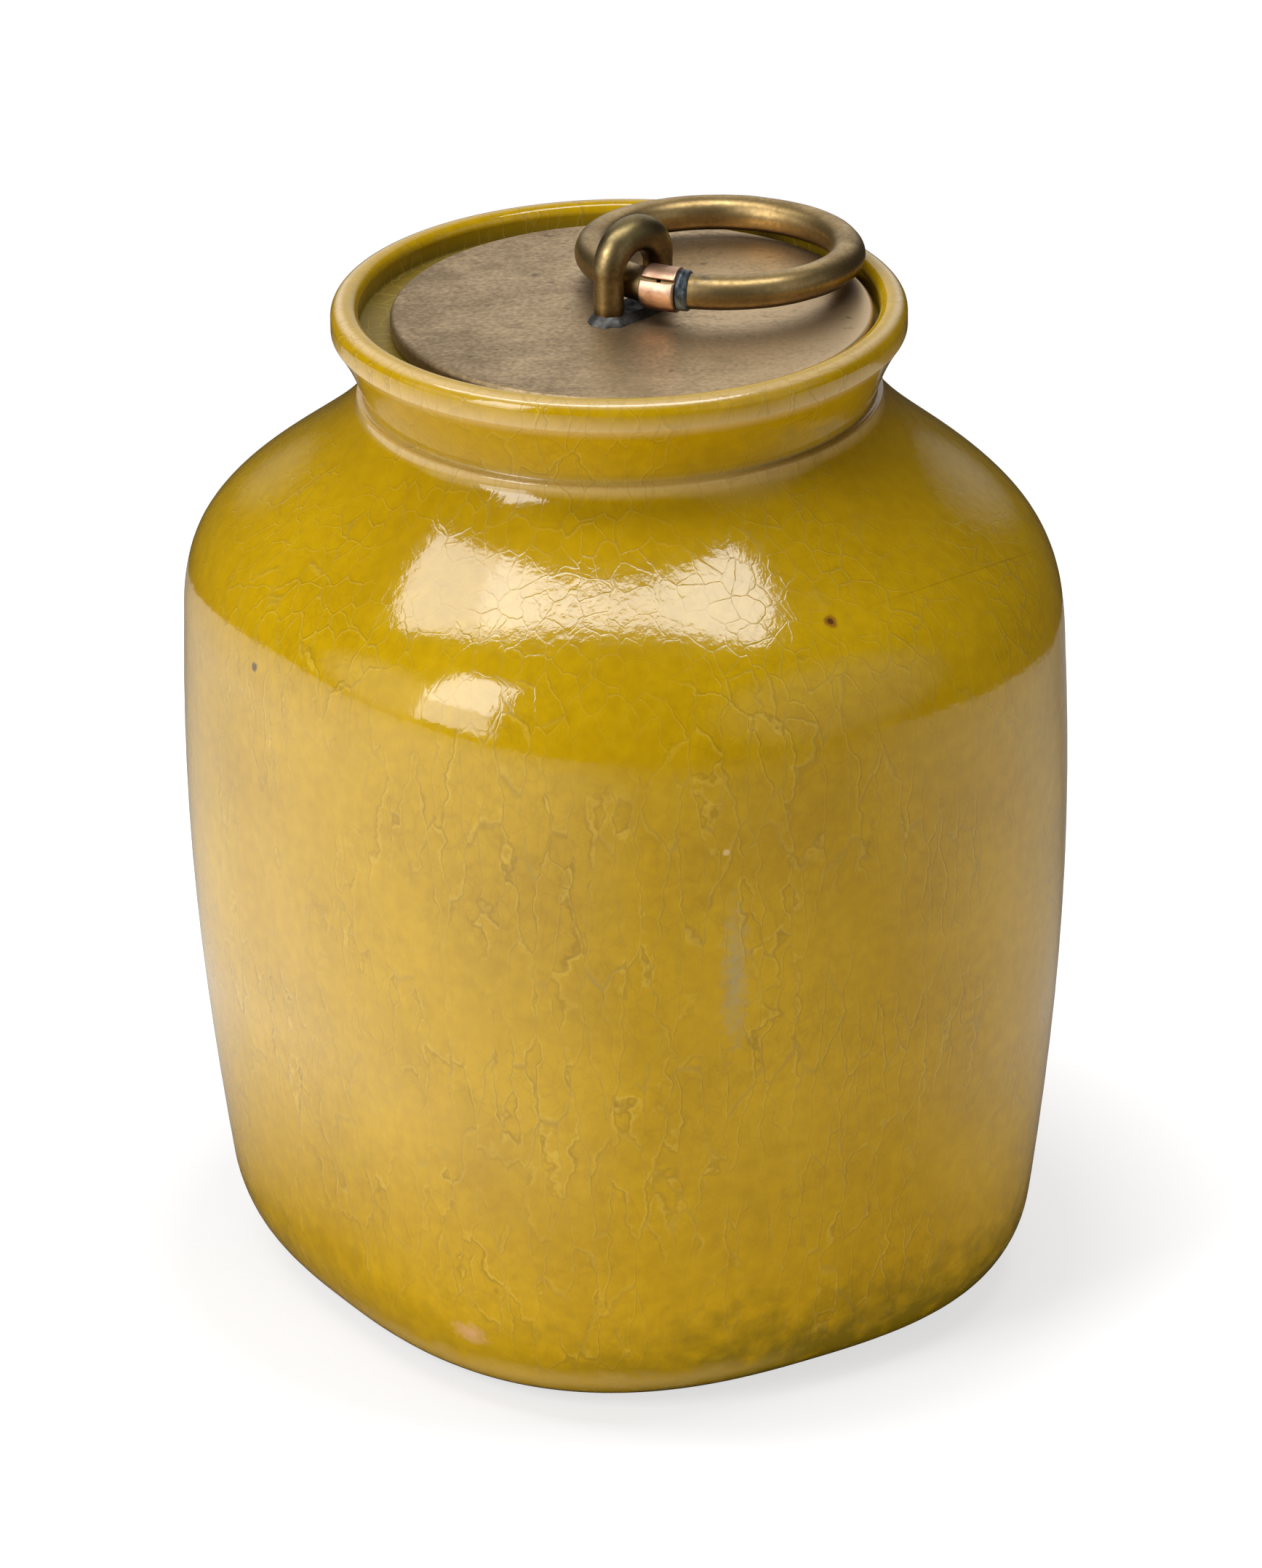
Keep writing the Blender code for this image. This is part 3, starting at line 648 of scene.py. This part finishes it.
def jarOutline(s):
    # Half widths and rises, from under the foot, up outside, over the rim and down inside
    heel, belly, shoulder, root, neck, lip, crest, throatFoot = [
        (s[name], s[name + "Rise"])
        for name in ("heel", "belly", "shoulder", "neckRoot", "neck", "lip", "crest", "throat")]
    bandEdge, bandTop = (s.band, s.bandRise - s.bandRound), (s.band - s.bandRound, s.bandRise)
    edge, lipFoot = (s.lip - s.edgeRound / 2, s.lipEdgeRise), (s.lip, s.lipFootRise)
    wellTop = (s.well, s.crestRise - s.lipRoll)
    wellFoot = (s.well, s.ledgeRise + s.wellCorner)
    ledgeStart = (s.well - s.wellCorner, s.ledgeRise)
    ledgeEdge = (s.throat + s.ledgeRound, s.ledgeRise)
    throatTop = (s.throat, s.ledgeRise - s.ledgeRound)
    innerShoulder = Vector(shoulder) + heading(s.shoulderHeading + 90) * s.wall
    floorRise = s.recess + s.floor
    innerBelly = (s.belly - s.wall, s.bellyRise)
    innerHeel = (s.heel - s.wall, floorRise + s.floorRound)
    floorEdge = (innerHeel[0] - s.floorRound, floorRise)
    ringInside = s.foot - s.ringWidth
    recessEdge = ringInside - s.recessSlope
    outline = [(half, s.recess) for half in (0.0, 0.012, 0.024, recessEdge - s.recessRound)]
    outline += [(recessEdge, s.recess - s.recessSink), (ringInside, s.recessSink),
                (ringInside + s.recessRound, 0.0), (s.foot - s.footFlat, 0.0)]
    bareCount = len(outline) - 1
    outline += [(s.foot - inward, rise) for inward, rise in s.footRounding]
    outline += span(outline[-1], s.footHeading, heel, s.heelHeading, steps=16)
    outline += span(heel, s.heelHeading, belly, 90, steps=34)
    outline += span(belly, 90, shoulder, s.shoulderHeading, 0.45, 24)
    outline += span(shoulder, s.shoulderHeading, root, s.rootHeading, steps=16)
    outline += span(root, s.rootHeading, bandEdge, s.bandHeading, steps=6)
    outline += quarter(bandEdge, s.bandHeading, bandTop, 180, 6)
    outline += quarter(bandTop, 180, neck, s.neckHeading, 6)
    outline += span(neck, s.neckHeading, edge, s.undersideHeading, steps=14)
    outline += quarter(edge, s.undersideHeading, lipFoot, 90, 5) + [lip]
    outline += quarter(lip, 90, crest, 180, 12) + quarter(crest, 180, wellTop, 270, 12)
    outline += [wellFoot] + quarter(wellFoot, 270, ledgeStart, 180, 4) + [ledgeEdge]
    outline += quarter(ledgeEdge, 180, throatTop, 270, 6) + [throatFoot]
    outline += span(throatFoot, 270, innerShoulder, s.shoulderHeading - 180, steps=10)
    outline += span(innerShoulder, s.shoulderHeading - 180, innerBelly, 270, 0.45, 12)
    outline += span(innerBelly, 270, innerHeel, s.heelHeading + 180, steps=14)
    outline += quarter(innerHeel, s.heelHeading + 180, floorEdge, 180, 8)
    outline += [(floorEdge[0] * share, floorRise) for share in (0.66, 0.33, 0.0)]
    return [Vector(point) for point in outline], bareCount


def nearest(point, places):
    # The strongest of some soft places, each given as a centre with its strength and reach
    return max(strength * max(0.0, 1.0 - ((point - Vector(centre)).length / reach) ** 2)
               for centre, (strength, reach) in places)


def makeJar(s):
    outline, bareCount = jarOutline(s)
    # The pale line at the crest is partly thin glaze and partly a painted highlight
    crest = (s.crest + s.crestShift[0], s.crestRise + s.crestShift[1])
    thinPlaces = ((crest, s.thinCrest), ((s.band, s.bandRise - s.bandRound / 2), s.thinBand),
                  ((s.lip, s.lipFootRise), s.thinEdge))
    neckFoot = ((s.neck, s.neckRise + s.poolShift), s.poolNeck)
    # The ledge round the lid is darkened mostly as painted shade
    ledge = (((s.well + s.throat) / 2, s.ledgeRise), s.poolLedge)
    thin = [min(1.0, s.thinShare * nearest(point, thinPlaces)) for point in outline]
    bare = [1.0 if index < bareCount else 0.0 for index in range(len(outline))]
    pool = [max(nearest(point, [neckFoot]), s.poolShare * min(1.0, nearest(point, [ledge])))
            for point in outline]
    path = pathObject("jarOutline", [(half, 0.0, rise) for half, rise in outline],
                      {"thin": thin, "bare": bare, "pool": pool})
    jar = runTree("jar_thrown", thrownTree, path, mustardGlaze, {**s, "roundRise": s.bandRise})
    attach(jar, "jar")
    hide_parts("jar_body")
    print("jar thrown:", len(jar.data.polygons), "faces")


makeJar(jarSettings)


# Lid

lidSettings = Values({
    "radius": 0.0371, "thickness": 0.0027, "bottom": 0.1567, "shift": (0.0010, -0.0022),
    "edgeRound": 0.0009, "around": 192, "unevenness": 0.00003, "unevenPitch": 0.018,
    "rowsBelow": 12, "rowsAbove": 30,
})


def wander(place, pitch, shift=0.0):
    # Smooth noise from about -1 to 1, with a lump in each pitch
    return noise.fractal(place / pitch + Vector((shift, 0.0, 0.0)), 1.0, 2.0, 3)


def makeLid(s):
    radius, top, edge = s.radius, s.thickness, s.edgeRound
    outline = [(radius * row / s.rowsBelow, 0.0) for row in range(s.rowsBelow)]
    outline += [(radius - edge / 2, 0.0)]
    outline += quarter(outline[-1], 0, (radius, edge / 2), 90, 4) + [(radius, top - edge)]
    outline += quarter(outline[-1], 90, (radius - edge, top), 180, 8)
    outline += [((radius - edge) * (1 - row / s.rowsAbove), top) for row in range(1, s.rowsAbove + 1)]
    path = pathObject("lidOutline", [(half, 0.0, rise) for half, rise in outline])
    lid = runTree("lid_disc", thrownTree, path, brushedBronze, s)
    for vertex in lid.data.vertices:
        if vertex.co.z > top / 2:
            vertex.co.z += s.unevenness * wander(vertex.co, s.unevenPitch)
    lid.data.transform(Matrix.Translation((*s.shift, s.bottom)))
    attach(lid, "lid")
    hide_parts("lid_plate")
    print("lid made")


makeLid(lidSettings)


# Staple, thickest over its arch, with two legs through the lid

stapleSettings = Values({
    "barRadius": 0.0023, "crownRadius": 0.0028, "crownSpread": 0.7, "legOffset": 0.00542, "rise": 0.0126,
    "place": (0.0008, -0.0030), "turn": 14.8, "unevenness": 0.00007, "unevenPitch": 0.006, "unevenShift": 3.0,
    # The hammered heads under the lid: how far below their top, and how thick
    "heads": ((-0.0015, 0.86), (-0.0014, 1.28), (-0.0007, 1.36), (-0.0001, 1.2), (0.0, 1.0)),
    "headGap": 0.0003, "legSteps": 15, "archSteps": 48, "around": 48,
})
lidTop = lidSettings.bottom + lidSettings.thickness
staplePlace = (Matrix.Translation((*stapleSettings.place, lidTop))
               @ Matrix.Rotation(radians(stapleSettings.turn), 4, "Z"))


def roughen(piece, s):
    # Push the surface in and out a little, as a hand tool leaves it
    vertices = piece.data.vertices
    moved = [vertex.co + vertex.normal * s.unevenness * wander(vertex.co, s.unevenPitch, s.unevenShift)
             for vertex in vertices]
    for vertex, place in zip(vertices, moved):
        vertex.co = place


def makeStaple(s):
    offset = s.legOffset
    archFoot = s.rise - offset
    low = -lidSettings.thickness - s.headGap
    swell = s.crownRadius / s.barRadius - 1.0
    leg = [(low + rise, girth) for rise, girth in s.heads]
    leg += [(low + (archFoot - low) * step / s.legSteps, 1.0) for step in range(1, s.legSteps)]
    chain = [(-offset, rise, girth) for rise, girth in leg]
    for step in range(s.archSteps + 1):
        angle = pi - pi * step / s.archSteps
        girth = 1.0 + swell * max(sin(angle), 0.0) ** s.crownSpread
        chain.append((offset * cos(angle), archFoot + offset * sin(angle), girth))
    chain += [(offset, rise, girth) for rise, girth in reversed(leg)]
    path = pathObject("staplePath", [(x, 0.0, rise) for x, rise, girth in chain],
                      {"girth": [girth for x, rise, girth in chain]})
    staple = runTree("staple_bar", barTree, path, metals["stapleBronze"], s)
    roughen(staple, s)
    staple.data.transform(staplePlace)
    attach(staple, "lid")
    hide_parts("pull_staple")
    print("staple bent")


makeStaple(stapleSettings)


# Plain pieces made loop by loop

def meshPiece(name, loops, finish, fanned):
    # Skin between closed loops of points. The first and last are closed by a fan, or else by filling.
    bm = bmesh.new()
    rows = [[bm.verts.new(point) for point in loop] for loop in loops]
    count = len(rows[0])
    for first, second in zip(rows, rows[1:]):
        for index in range(count):
            after = (index + 1) % count
            bm.faces.new((first[index], first[after], second[after], second[index]))
    if fanned:
        for row in (rows[0], rows[-1]):
            middle = bm.verts.new(sum((vertex.co for vertex in row), Vector()) / count)
            for index in range(count):
                bm.faces.new((row[index], row[(index + 1) % count], middle))
    bmesh.ops.remove_doubles(bm, verts=bm.verts, dist=0.000001)
    for face in bm.faces:
        face.smooth = True
    if not fanned:
        bmesh.ops.recalc_face_normals(bm, faces=bm.faces)
        bmesh.ops.holes_fill(bm, edges=[edge for edge in bm.edges if edge.is_boundary], sides=0)
        bmesh.ops.triangulate(bm, faces=[face for face in bm.faces if len(face.verts) > 4])
    bmesh.ops.recalc_face_normals(bm, faces=bm.faces)
    mesh = bpy.data.meshes.new(name)
    bm.to_mesh(mesh)
    bm.free()
    mesh.materials.append(finish)
    return addObject(name, mesh)


# Solder smeared round the staple's legs: a low skin, drawn up against each leg

solderSettings = Values({
    "reach": 0.0034, "raggedness": 0.0009, "lobes": 1.7, "lobeShift": 300.0, "gather": 1.15,
    "fillet": 0.0011, "filletReach": 0.0016, "filletShare": 0.75, "filletLumps": 0.3,
    "skin": 0.00028, "skinBase": 0.6, "lumpPitch": 0.0016, "lumpRise": 0.004, "lumpBase": 0.5, "lumps": 0.9,
    "rimFall": 7.0, "ceiling": 0.0014, "sunk": 0.0002, "around": 120, "rows": 26,
})


def makeLidSolder(s):
    offset, leg = stapleSettings.legOffset, stapleSettings.barRadius
    loops = []
    for row in range(s.rows + 1):
        share = row / s.rows
        loop = []
        for index in range(s.around):
            angle = 2 * pi * (index + 0.5) / s.around
            shift = math.copysign(offset, cos(angle))
            edge = s.reach + s.raggedness * noise.noise(Vector((
                cos(angle) * s.lobes, sin(angle) * s.lobes, shift * s.lobeShift)))
            x = shift * min(1.0, share * s.gather) + edge * share * cos(angle)
            y = edge * share * sin(angle)
            legAways = [math.hypot(x - side, y) - leg for side in (-offset, offset)]
            toLeg = min(abs(away) for away in legAways)
            climb = 1.0 if min(legAways) < 0 else max(0.0, 1.0 - toLeg / s.filletReach) ** 2
            lumps = s.lumpBase + s.lumps * noise.noise(Vector((x, y, s.lumpRise)) / s.lumpPitch)
            rise = (s.skin * (s.skinBase + lumps)
                    + s.fillet * climb * (s.filletShare + s.filletLumps * lumps))
            rise *= min(1.0, (1.0 - share) * s.rimFall) ** 0.5
            loop.append(Vector((x, y, min(rise, s.ceiling))))
        loops.append(loop)
    loops.append([Vector((point.x, point.y, -s.sunk)) for point in loops[-1]])
    solder = meshPiece("staple_solder_smear", loops, metals["lidSolder"], True)
    solder.data.transform(staplePlace)
    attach(solder, "lid")
    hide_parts("staple_solder")
    print("lid solder laid")


makeLidSolder(solderSettings)


# Ring, sleeve and the solder at its end, made flat with the hinge at the origin

ringSettings = Values({
    "radius": 0.0193, "barRadius": 0.00272, "hinge": (0.0008, -0.0030, 0.16422), "dip": 2.1278, "lean": 1.0,
    "outOfRound": 0.0003, "outOfRoundTurn": 125.0, "unevenness": 0.00006, "unevenPitch": 0.007,
    "unevenShift": 11.0, "buttGap": 0.0006, "around": 48, "along": 240,
})
sleeveSettings = Values({
    "start": 0.0032, "length": 0.0051, "bore": 0.00302, "wall": 0.0005, "seam": 0.00042, "seamAngle": 38.0,
    "edgeRound": 0.00022, "edgeShare": 0.3, "dent": 0.00005, "dentsPerMetre": 700.0, "dentsAround": 1.3,
    "dentShift": 2.0, "around": 110, "along": 34,
})
collarSettings = Values({
    "start": 0.0081, "length": 0.0020, "wall": 0.00022, "fillet": 0.00035, "sunk": 0.0001,
    "lump": 0.00055, "lumpAngle": 66.0, "lumpSpread": 30.0, "lumpMiddle": 0.42, "lumpLength": 0.26,
    "raggedBase": 0.75, "raggedness": 0.5, "lobes": 1.8, "lobesAlong": 2.0, "endFall": 5.0,
    "around": 90, "along": 22,
})
ringPlace = (Matrix.Translation(ringSettings.hinge)
             @ Matrix.Rotation(radians(stapleSettings.turn), 4, "Z")
             @ Matrix.Rotation(radians(-ringSettings.lean), 4, "X")
             @ Matrix.Rotation(radians(ringSettings.dip), 4, "Y"))


def ringPoint(angle, out=0.0, up=0.0):
    # A place on the ring, by the angle round it from the hinge and off its bar's centre
    s = ringSettings
    turn = radians(s.outOfRoundTurn)
    distance = s.radius + s.outOfRound * (cos(2 * (angle - turn)) - cos(2 * turn)) + out
    return Vector((s.radius - distance * cos(angle), -distance * sin(angle), up))


def roundBar(distance, radius, bearing):
    # A place off the bar, by the distance along it from the hinge and the bearing round it
    return ringPoint(distance / ringSettings.radius, radius * cos(bearing), radius * sin(bearing))


def rideOnRing(piece, node):
    piece.data.transform(ringPlace)
    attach(piece, "pull")
    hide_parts(node)


def makeRing(s):
    butt = (sleeveSettings.start + sleeveSettings.length / 2) / s.radius
    halfGap = s.buttGap / 2 / s.radius
    sweep = 2 * pi - 2 * halfGap
    points = [ringPoint(butt + halfGap + sweep * step / s.along) for step in range(s.along + 1)]
    path = pathObject("ringPath", points, {"girth": [1.0] * len(points)})
    ring = runTree("ring_bar", barTree, path, metals["barBronze"], s)
    roughen(ring, s)
    rideOnRing(ring, "pull_ring")
    print("ring bent")


def makeSleeve(s):
    # A strip rolled round the bar: each loop goes round outside and comes back along the inside
    halfSeam = s.seam / 2 / s.bore
    loops = []
    for step in range(s.along + 1):
        fromStart = s.length * (0.5 - 0.5 * cos(pi * step / s.along))
        distance, toEnd = s.start + fromStart, min(fromStart, s.length - fromStart)
        outer, inner = [], []
        for index in range(s.around + 1):
            share = 0.5 - 0.5 * cos(pi * index / s.around)
            bearing = radians(s.seamAngle) + halfSeam + (2 * pi - 2 * halfSeam) * share
            toSeam = min(share, 1.0 - share) * 2 * pi * s.bore
            edge = min(1.0, min(toEnd, toSeam) / s.edgeRound)
            wall = s.wall * (s.edgeShare + (1.0 - s.edgeShare) * (1.0 - (1.0 - edge) ** 2) ** 0.5)
            dent = s.dent * noise.noise(Vector((
                distance * s.dentsPerMetre, bearing * s.dentsAround, s.dentShift)))
            outer.append(roundBar(distance, s.bore + wall + dent, bearing))
            inner.append(roundBar(distance, s.bore, bearing))
        loops.append(outer + inner[::-1])
    sleeve = meshPiece("ring_sleeve", loops, metals["sleeveCopper"], False)
    rideOnRing(sleeve, "ring_ferrule")
    print("sleeve rolled")


def makeCollar(s):
    # A thin fillet round the bar with one raised drop on top
    loops = []
    for step in range(s.along + 1):
        share = step / s.along
        end = min(1.0, min(share, 1.0 - share) * s.endFall) ** 0.5
        lumpAlong = math.exp(-((share - s.lumpMiddle) / s.lumpLength) ** 2)
        loop = []
        for index in range(s.around):
            bearing = 2 * pi * index / s.around
            fromLump = bearing - radians(s.lumpAngle)
            turned = math.degrees(math.atan2(sin(fromLump), cos(fromLump)))
            drop = s.lump * lumpAlong * math.exp(-(turned / s.lumpSpread) ** 2)
            ragged = s.raggedBase + s.raggedness * noise.noise(Vector((
                cos(bearing) * s.lobes, sin(bearing) * s.lobes, share * s.lobesAlong)))
            thickness = (s.fillet + s.wall * ragged + drop) * end
            loop.append(roundBar(s.start + s.length * share,
                                 ringSettings.barRadius - s.sunk + thickness, bearing))
        loops.append(loop)
    collar = meshPiece("sleeve_solder_drop", loops, metals["collarSolder"], True)
    rideOnRing(collar, "ferrule_solder")
    print("collar soldered")


makeRing(ringSettings)
makeSleeve(sleeveSettings)
makeCollar(collarSettings)


# Stage. Places are given across the picture, away from the camera, and up.

stageSettings = Values({
    "across": (0.8525, -0.5225), "away": (0.5182, 0.8553),
    "tableEdge": ((-3.0, -3.0), (1.3, -3.0), (0.95, -0.7), (0.72, -0.08), (0.48, 0.16), (0.20, 0.26),
                  (-0.50, 0.36), (-1.60, 0.48), (-3.0, 0.60)),
    "tableColour": (0.40, 0.41, 0.44, 1), "bounceColour": (0.92, 0.82, 0.66, 1),
    "mirroredColour": (0.40, 0.40, 0.40, 1), "tableRough": 0.9,
    "tableGlow": 1.02, "bounceGlow": 0.52,
    # Painted shadow, the table darker under the pot: from where, over what width, and what is left there
    "footShade": (0.07, 0.06), "glowUnder": 0.66, "mirroredUnder": 0.3,
    # Brighter sides that the pot mirrors: azimuth, where they start, slope and level
    "mirroredSides": ((165, 0.2, 1.25, 1.2), (-25, 0.75, 4.0, 0.5)),
    # Overhead boxes: the near edge's ends, the depth away from it and the radiance
    "boxes": {
        "overheadRight": ((-0.05, -0.160), (0.42, -0.165), 0.22, 8.5),
        "overheadLeft": ((-0.44, -0.125), (-0.05, -0.160), 0.15, 9.5),
        "overheadWing": ((-0.80, 0.05), (-0.46, -0.12), 0.20, 6.8),
    },
    # Windows: azimuth, width, lower and upper edge in degrees, and the radiance
    "windows": {
        "sideWindow": (189.0, 22.0, 22.0, 49.0, 8.3),
        "sideSill": (189.0, 22.0, 4.0, 22.0, 4.5),
    },
    "boxHeight": 1.0, "windowDistance": 1.1, "windowFrom": 0.12,
    # Pale walls that the pot mirrors: azimuth, elevation, where they start, width and level
    "walls": ((58, 27, 0.82, 0.12, 0.9), (-64, 22, 0.84, 0.10, 0.42), (164, 16, 0.93, 0.05, 1.0)),
    "room": 0.03, "ambient": 0.065, "ambientColour": (1.0, 0.90, 0.76, 1),
    "rightFill": 0.10, "fillFrom": (10, 25),
})


def stagePlace(across, away, up=0.0):
    s = stageSettings
    return Vector((across * s.across[0] + away * s.away[0],
                   across * s.across[1] + away * s.away[1], up))


def compass(azimuth, elevation):
    around, up = radians(azimuth), radians(elevation)
    return (cos(up) * cos(around), cos(up) * sin(around), sin(up))


def makeTable(s):
    # The camera sees it pale; the pot is lit warmly by it and mirrors it brighter to the left
    material, tree, shader, place = newFinish("paleTable")
    for name, value in (("Roughness", s.tableRough), ("Specular IOR Level", 0.0),
                        ("Emission Color", (1, 1, 1, 1))):
        connect(value, shader.inputs[name])
    rays = addNode(tree, "ShaderNodeLightPath").outputs
    # Painted shadow round the pot's foot, for the camera and in the pot's reflections
    shadeReach, shadeWidth = s.footShade
    offFoot = ramp(vectorCalc("LENGTH", place), shadeReach, 1 / shadeWidth)

    def under(level):
        return calc("MULTIPLY_ADD", offFoot, 1.0 - level, level)

    colour = blendColour(rays["Is Diffuse Ray"], s.tableColour, s.bounceColour)
    mirroredColour = blendColour(under(s.mirroredUnder), (0, 0, 0, 1), s.mirroredColour)
    colour = blendColour(rays["Is Glossy Ray"], colour, mirroredColour)
    connect(colour, shader.inputs["Base Color"])
    away = vectorCalc("NORMALIZE", place)
    mirrored = 0.0
    for azimuth, start, slope, level in s.mirroredSides:
        side = ramp(vectorCalc("DOT_PRODUCT", away, compass(azimuth, 0)), start, slope)
        mirrored = plus(mirrored, times(side, level))
    glow = plus(times(rays["Is Camera Ray"], under(s.glowUnder), s.tableGlow),
                times(rays["Is Diffuse Ray"], s.bounceGlow),
                times(rays["Is Glossy Ray"], mirrored, offFoot))
    connect(glow, shader.inputs["Emission Strength"])
    corners = [stagePlace(*corner) for corner in s.tableEdge]
    mesh = bpy.data.meshes.new("studioTable")
    mesh.from_pydata(corners, [], [tuple(range(len(corners)))])
    mesh.materials.append(material)
    table = addObject("studioTable", mesh)


def makeBoxLight(name, radiance, size, place, turn):
    data = bpy.data.lights.new(name, "AREA")
    data.shape = "RECTANGLE"
    data.size, data.size_y = size
    data.energy = radiance * pi * size[0] * size[1]
    light = addObject(name, data)
    light.location = place
    light.rotation_euler = turn
    light.visible_camera = False


def makeLights(s):
    lookTurn = math.atan2(s.across[1], s.across[0])
    for name, (first, second, depth, radiance) in s.boxes.items():
        run = Vector(second) - Vector(first)
        middle = (Vector(first) + Vector(second)) / 2 + Vector((-run.y, run.x)).normalized() * depth / 2
        makeBoxLight(name, radiance, (run.length, depth), stagePlace(*middle, s.boxHeight),
                     (0.0, 0.0, lookTurn + math.atan2(run.y, run.x)))
    for name, (azimuth, width, lowEdge, highEdge, radiance) in s.windows.items():
        low, high = [s.windowFrom + s.windowDistance * math.tan(radians(edge)) for edge in (lowEdge, highEdge)]
        place = Vector(compass(azimuth, 0)) * s.windowDistance
        place.z = (low + high) / 2
        size = (2 * s.windowDistance * math.tan(radians(width / 2)), high - low)
        makeBoxLight(name, radiance, size, place, (radians(90), 0.0, radians(azimuth + 90)))


def makeWorld(s):
    world = bpy.data.worlds.new("studio")
    world.use_nodes = True
    scene.world = world
    tree = world.node_tree
    background = tree.nodes["Background"]
    rays = addNode(tree, "ShaderNodeLightPath").outputs
    direction = addNode(tree, "ShaderNodeTexCoord").outputs["Generated"]
    mirrored = s.room
    for azimuth, elevation, start, width, level in s.walls:
        facing = vectorCalc("DOT_PRODUCT", direction, compass(azimuth, elevation))
        mirrored = plus(times(ramp(facing, start, 1 / width), level), mirrored)
    glossy = calc("MAXIMUM", rays["Is Glossy Ray"], rays["Is Transmission Ray"])
    diffuse = minus(1.0, calc("MAXIMUM", rays["Is Camera Ray"], glossy))
    facing = vectorCalc("DOT_PRODUCT", direction, compass(*s.fillFrom))
    fill = plus(ramp(facing, 0.0, s.rightFill), s.ambient)
    level = plus(rays["Is Camera Ray"], times(glossy, mirrored), times(diffuse, fill))
    connect(level, background.inputs["Strength"])
    connect(blendColour(diffuse, (1, 1, 1, 1), s.ambientColour), background.inputs["Color"])


makeTable(stageSettings)
makeWorld(stageSettings)
makeLights(stageSettings)
print("stage lit")
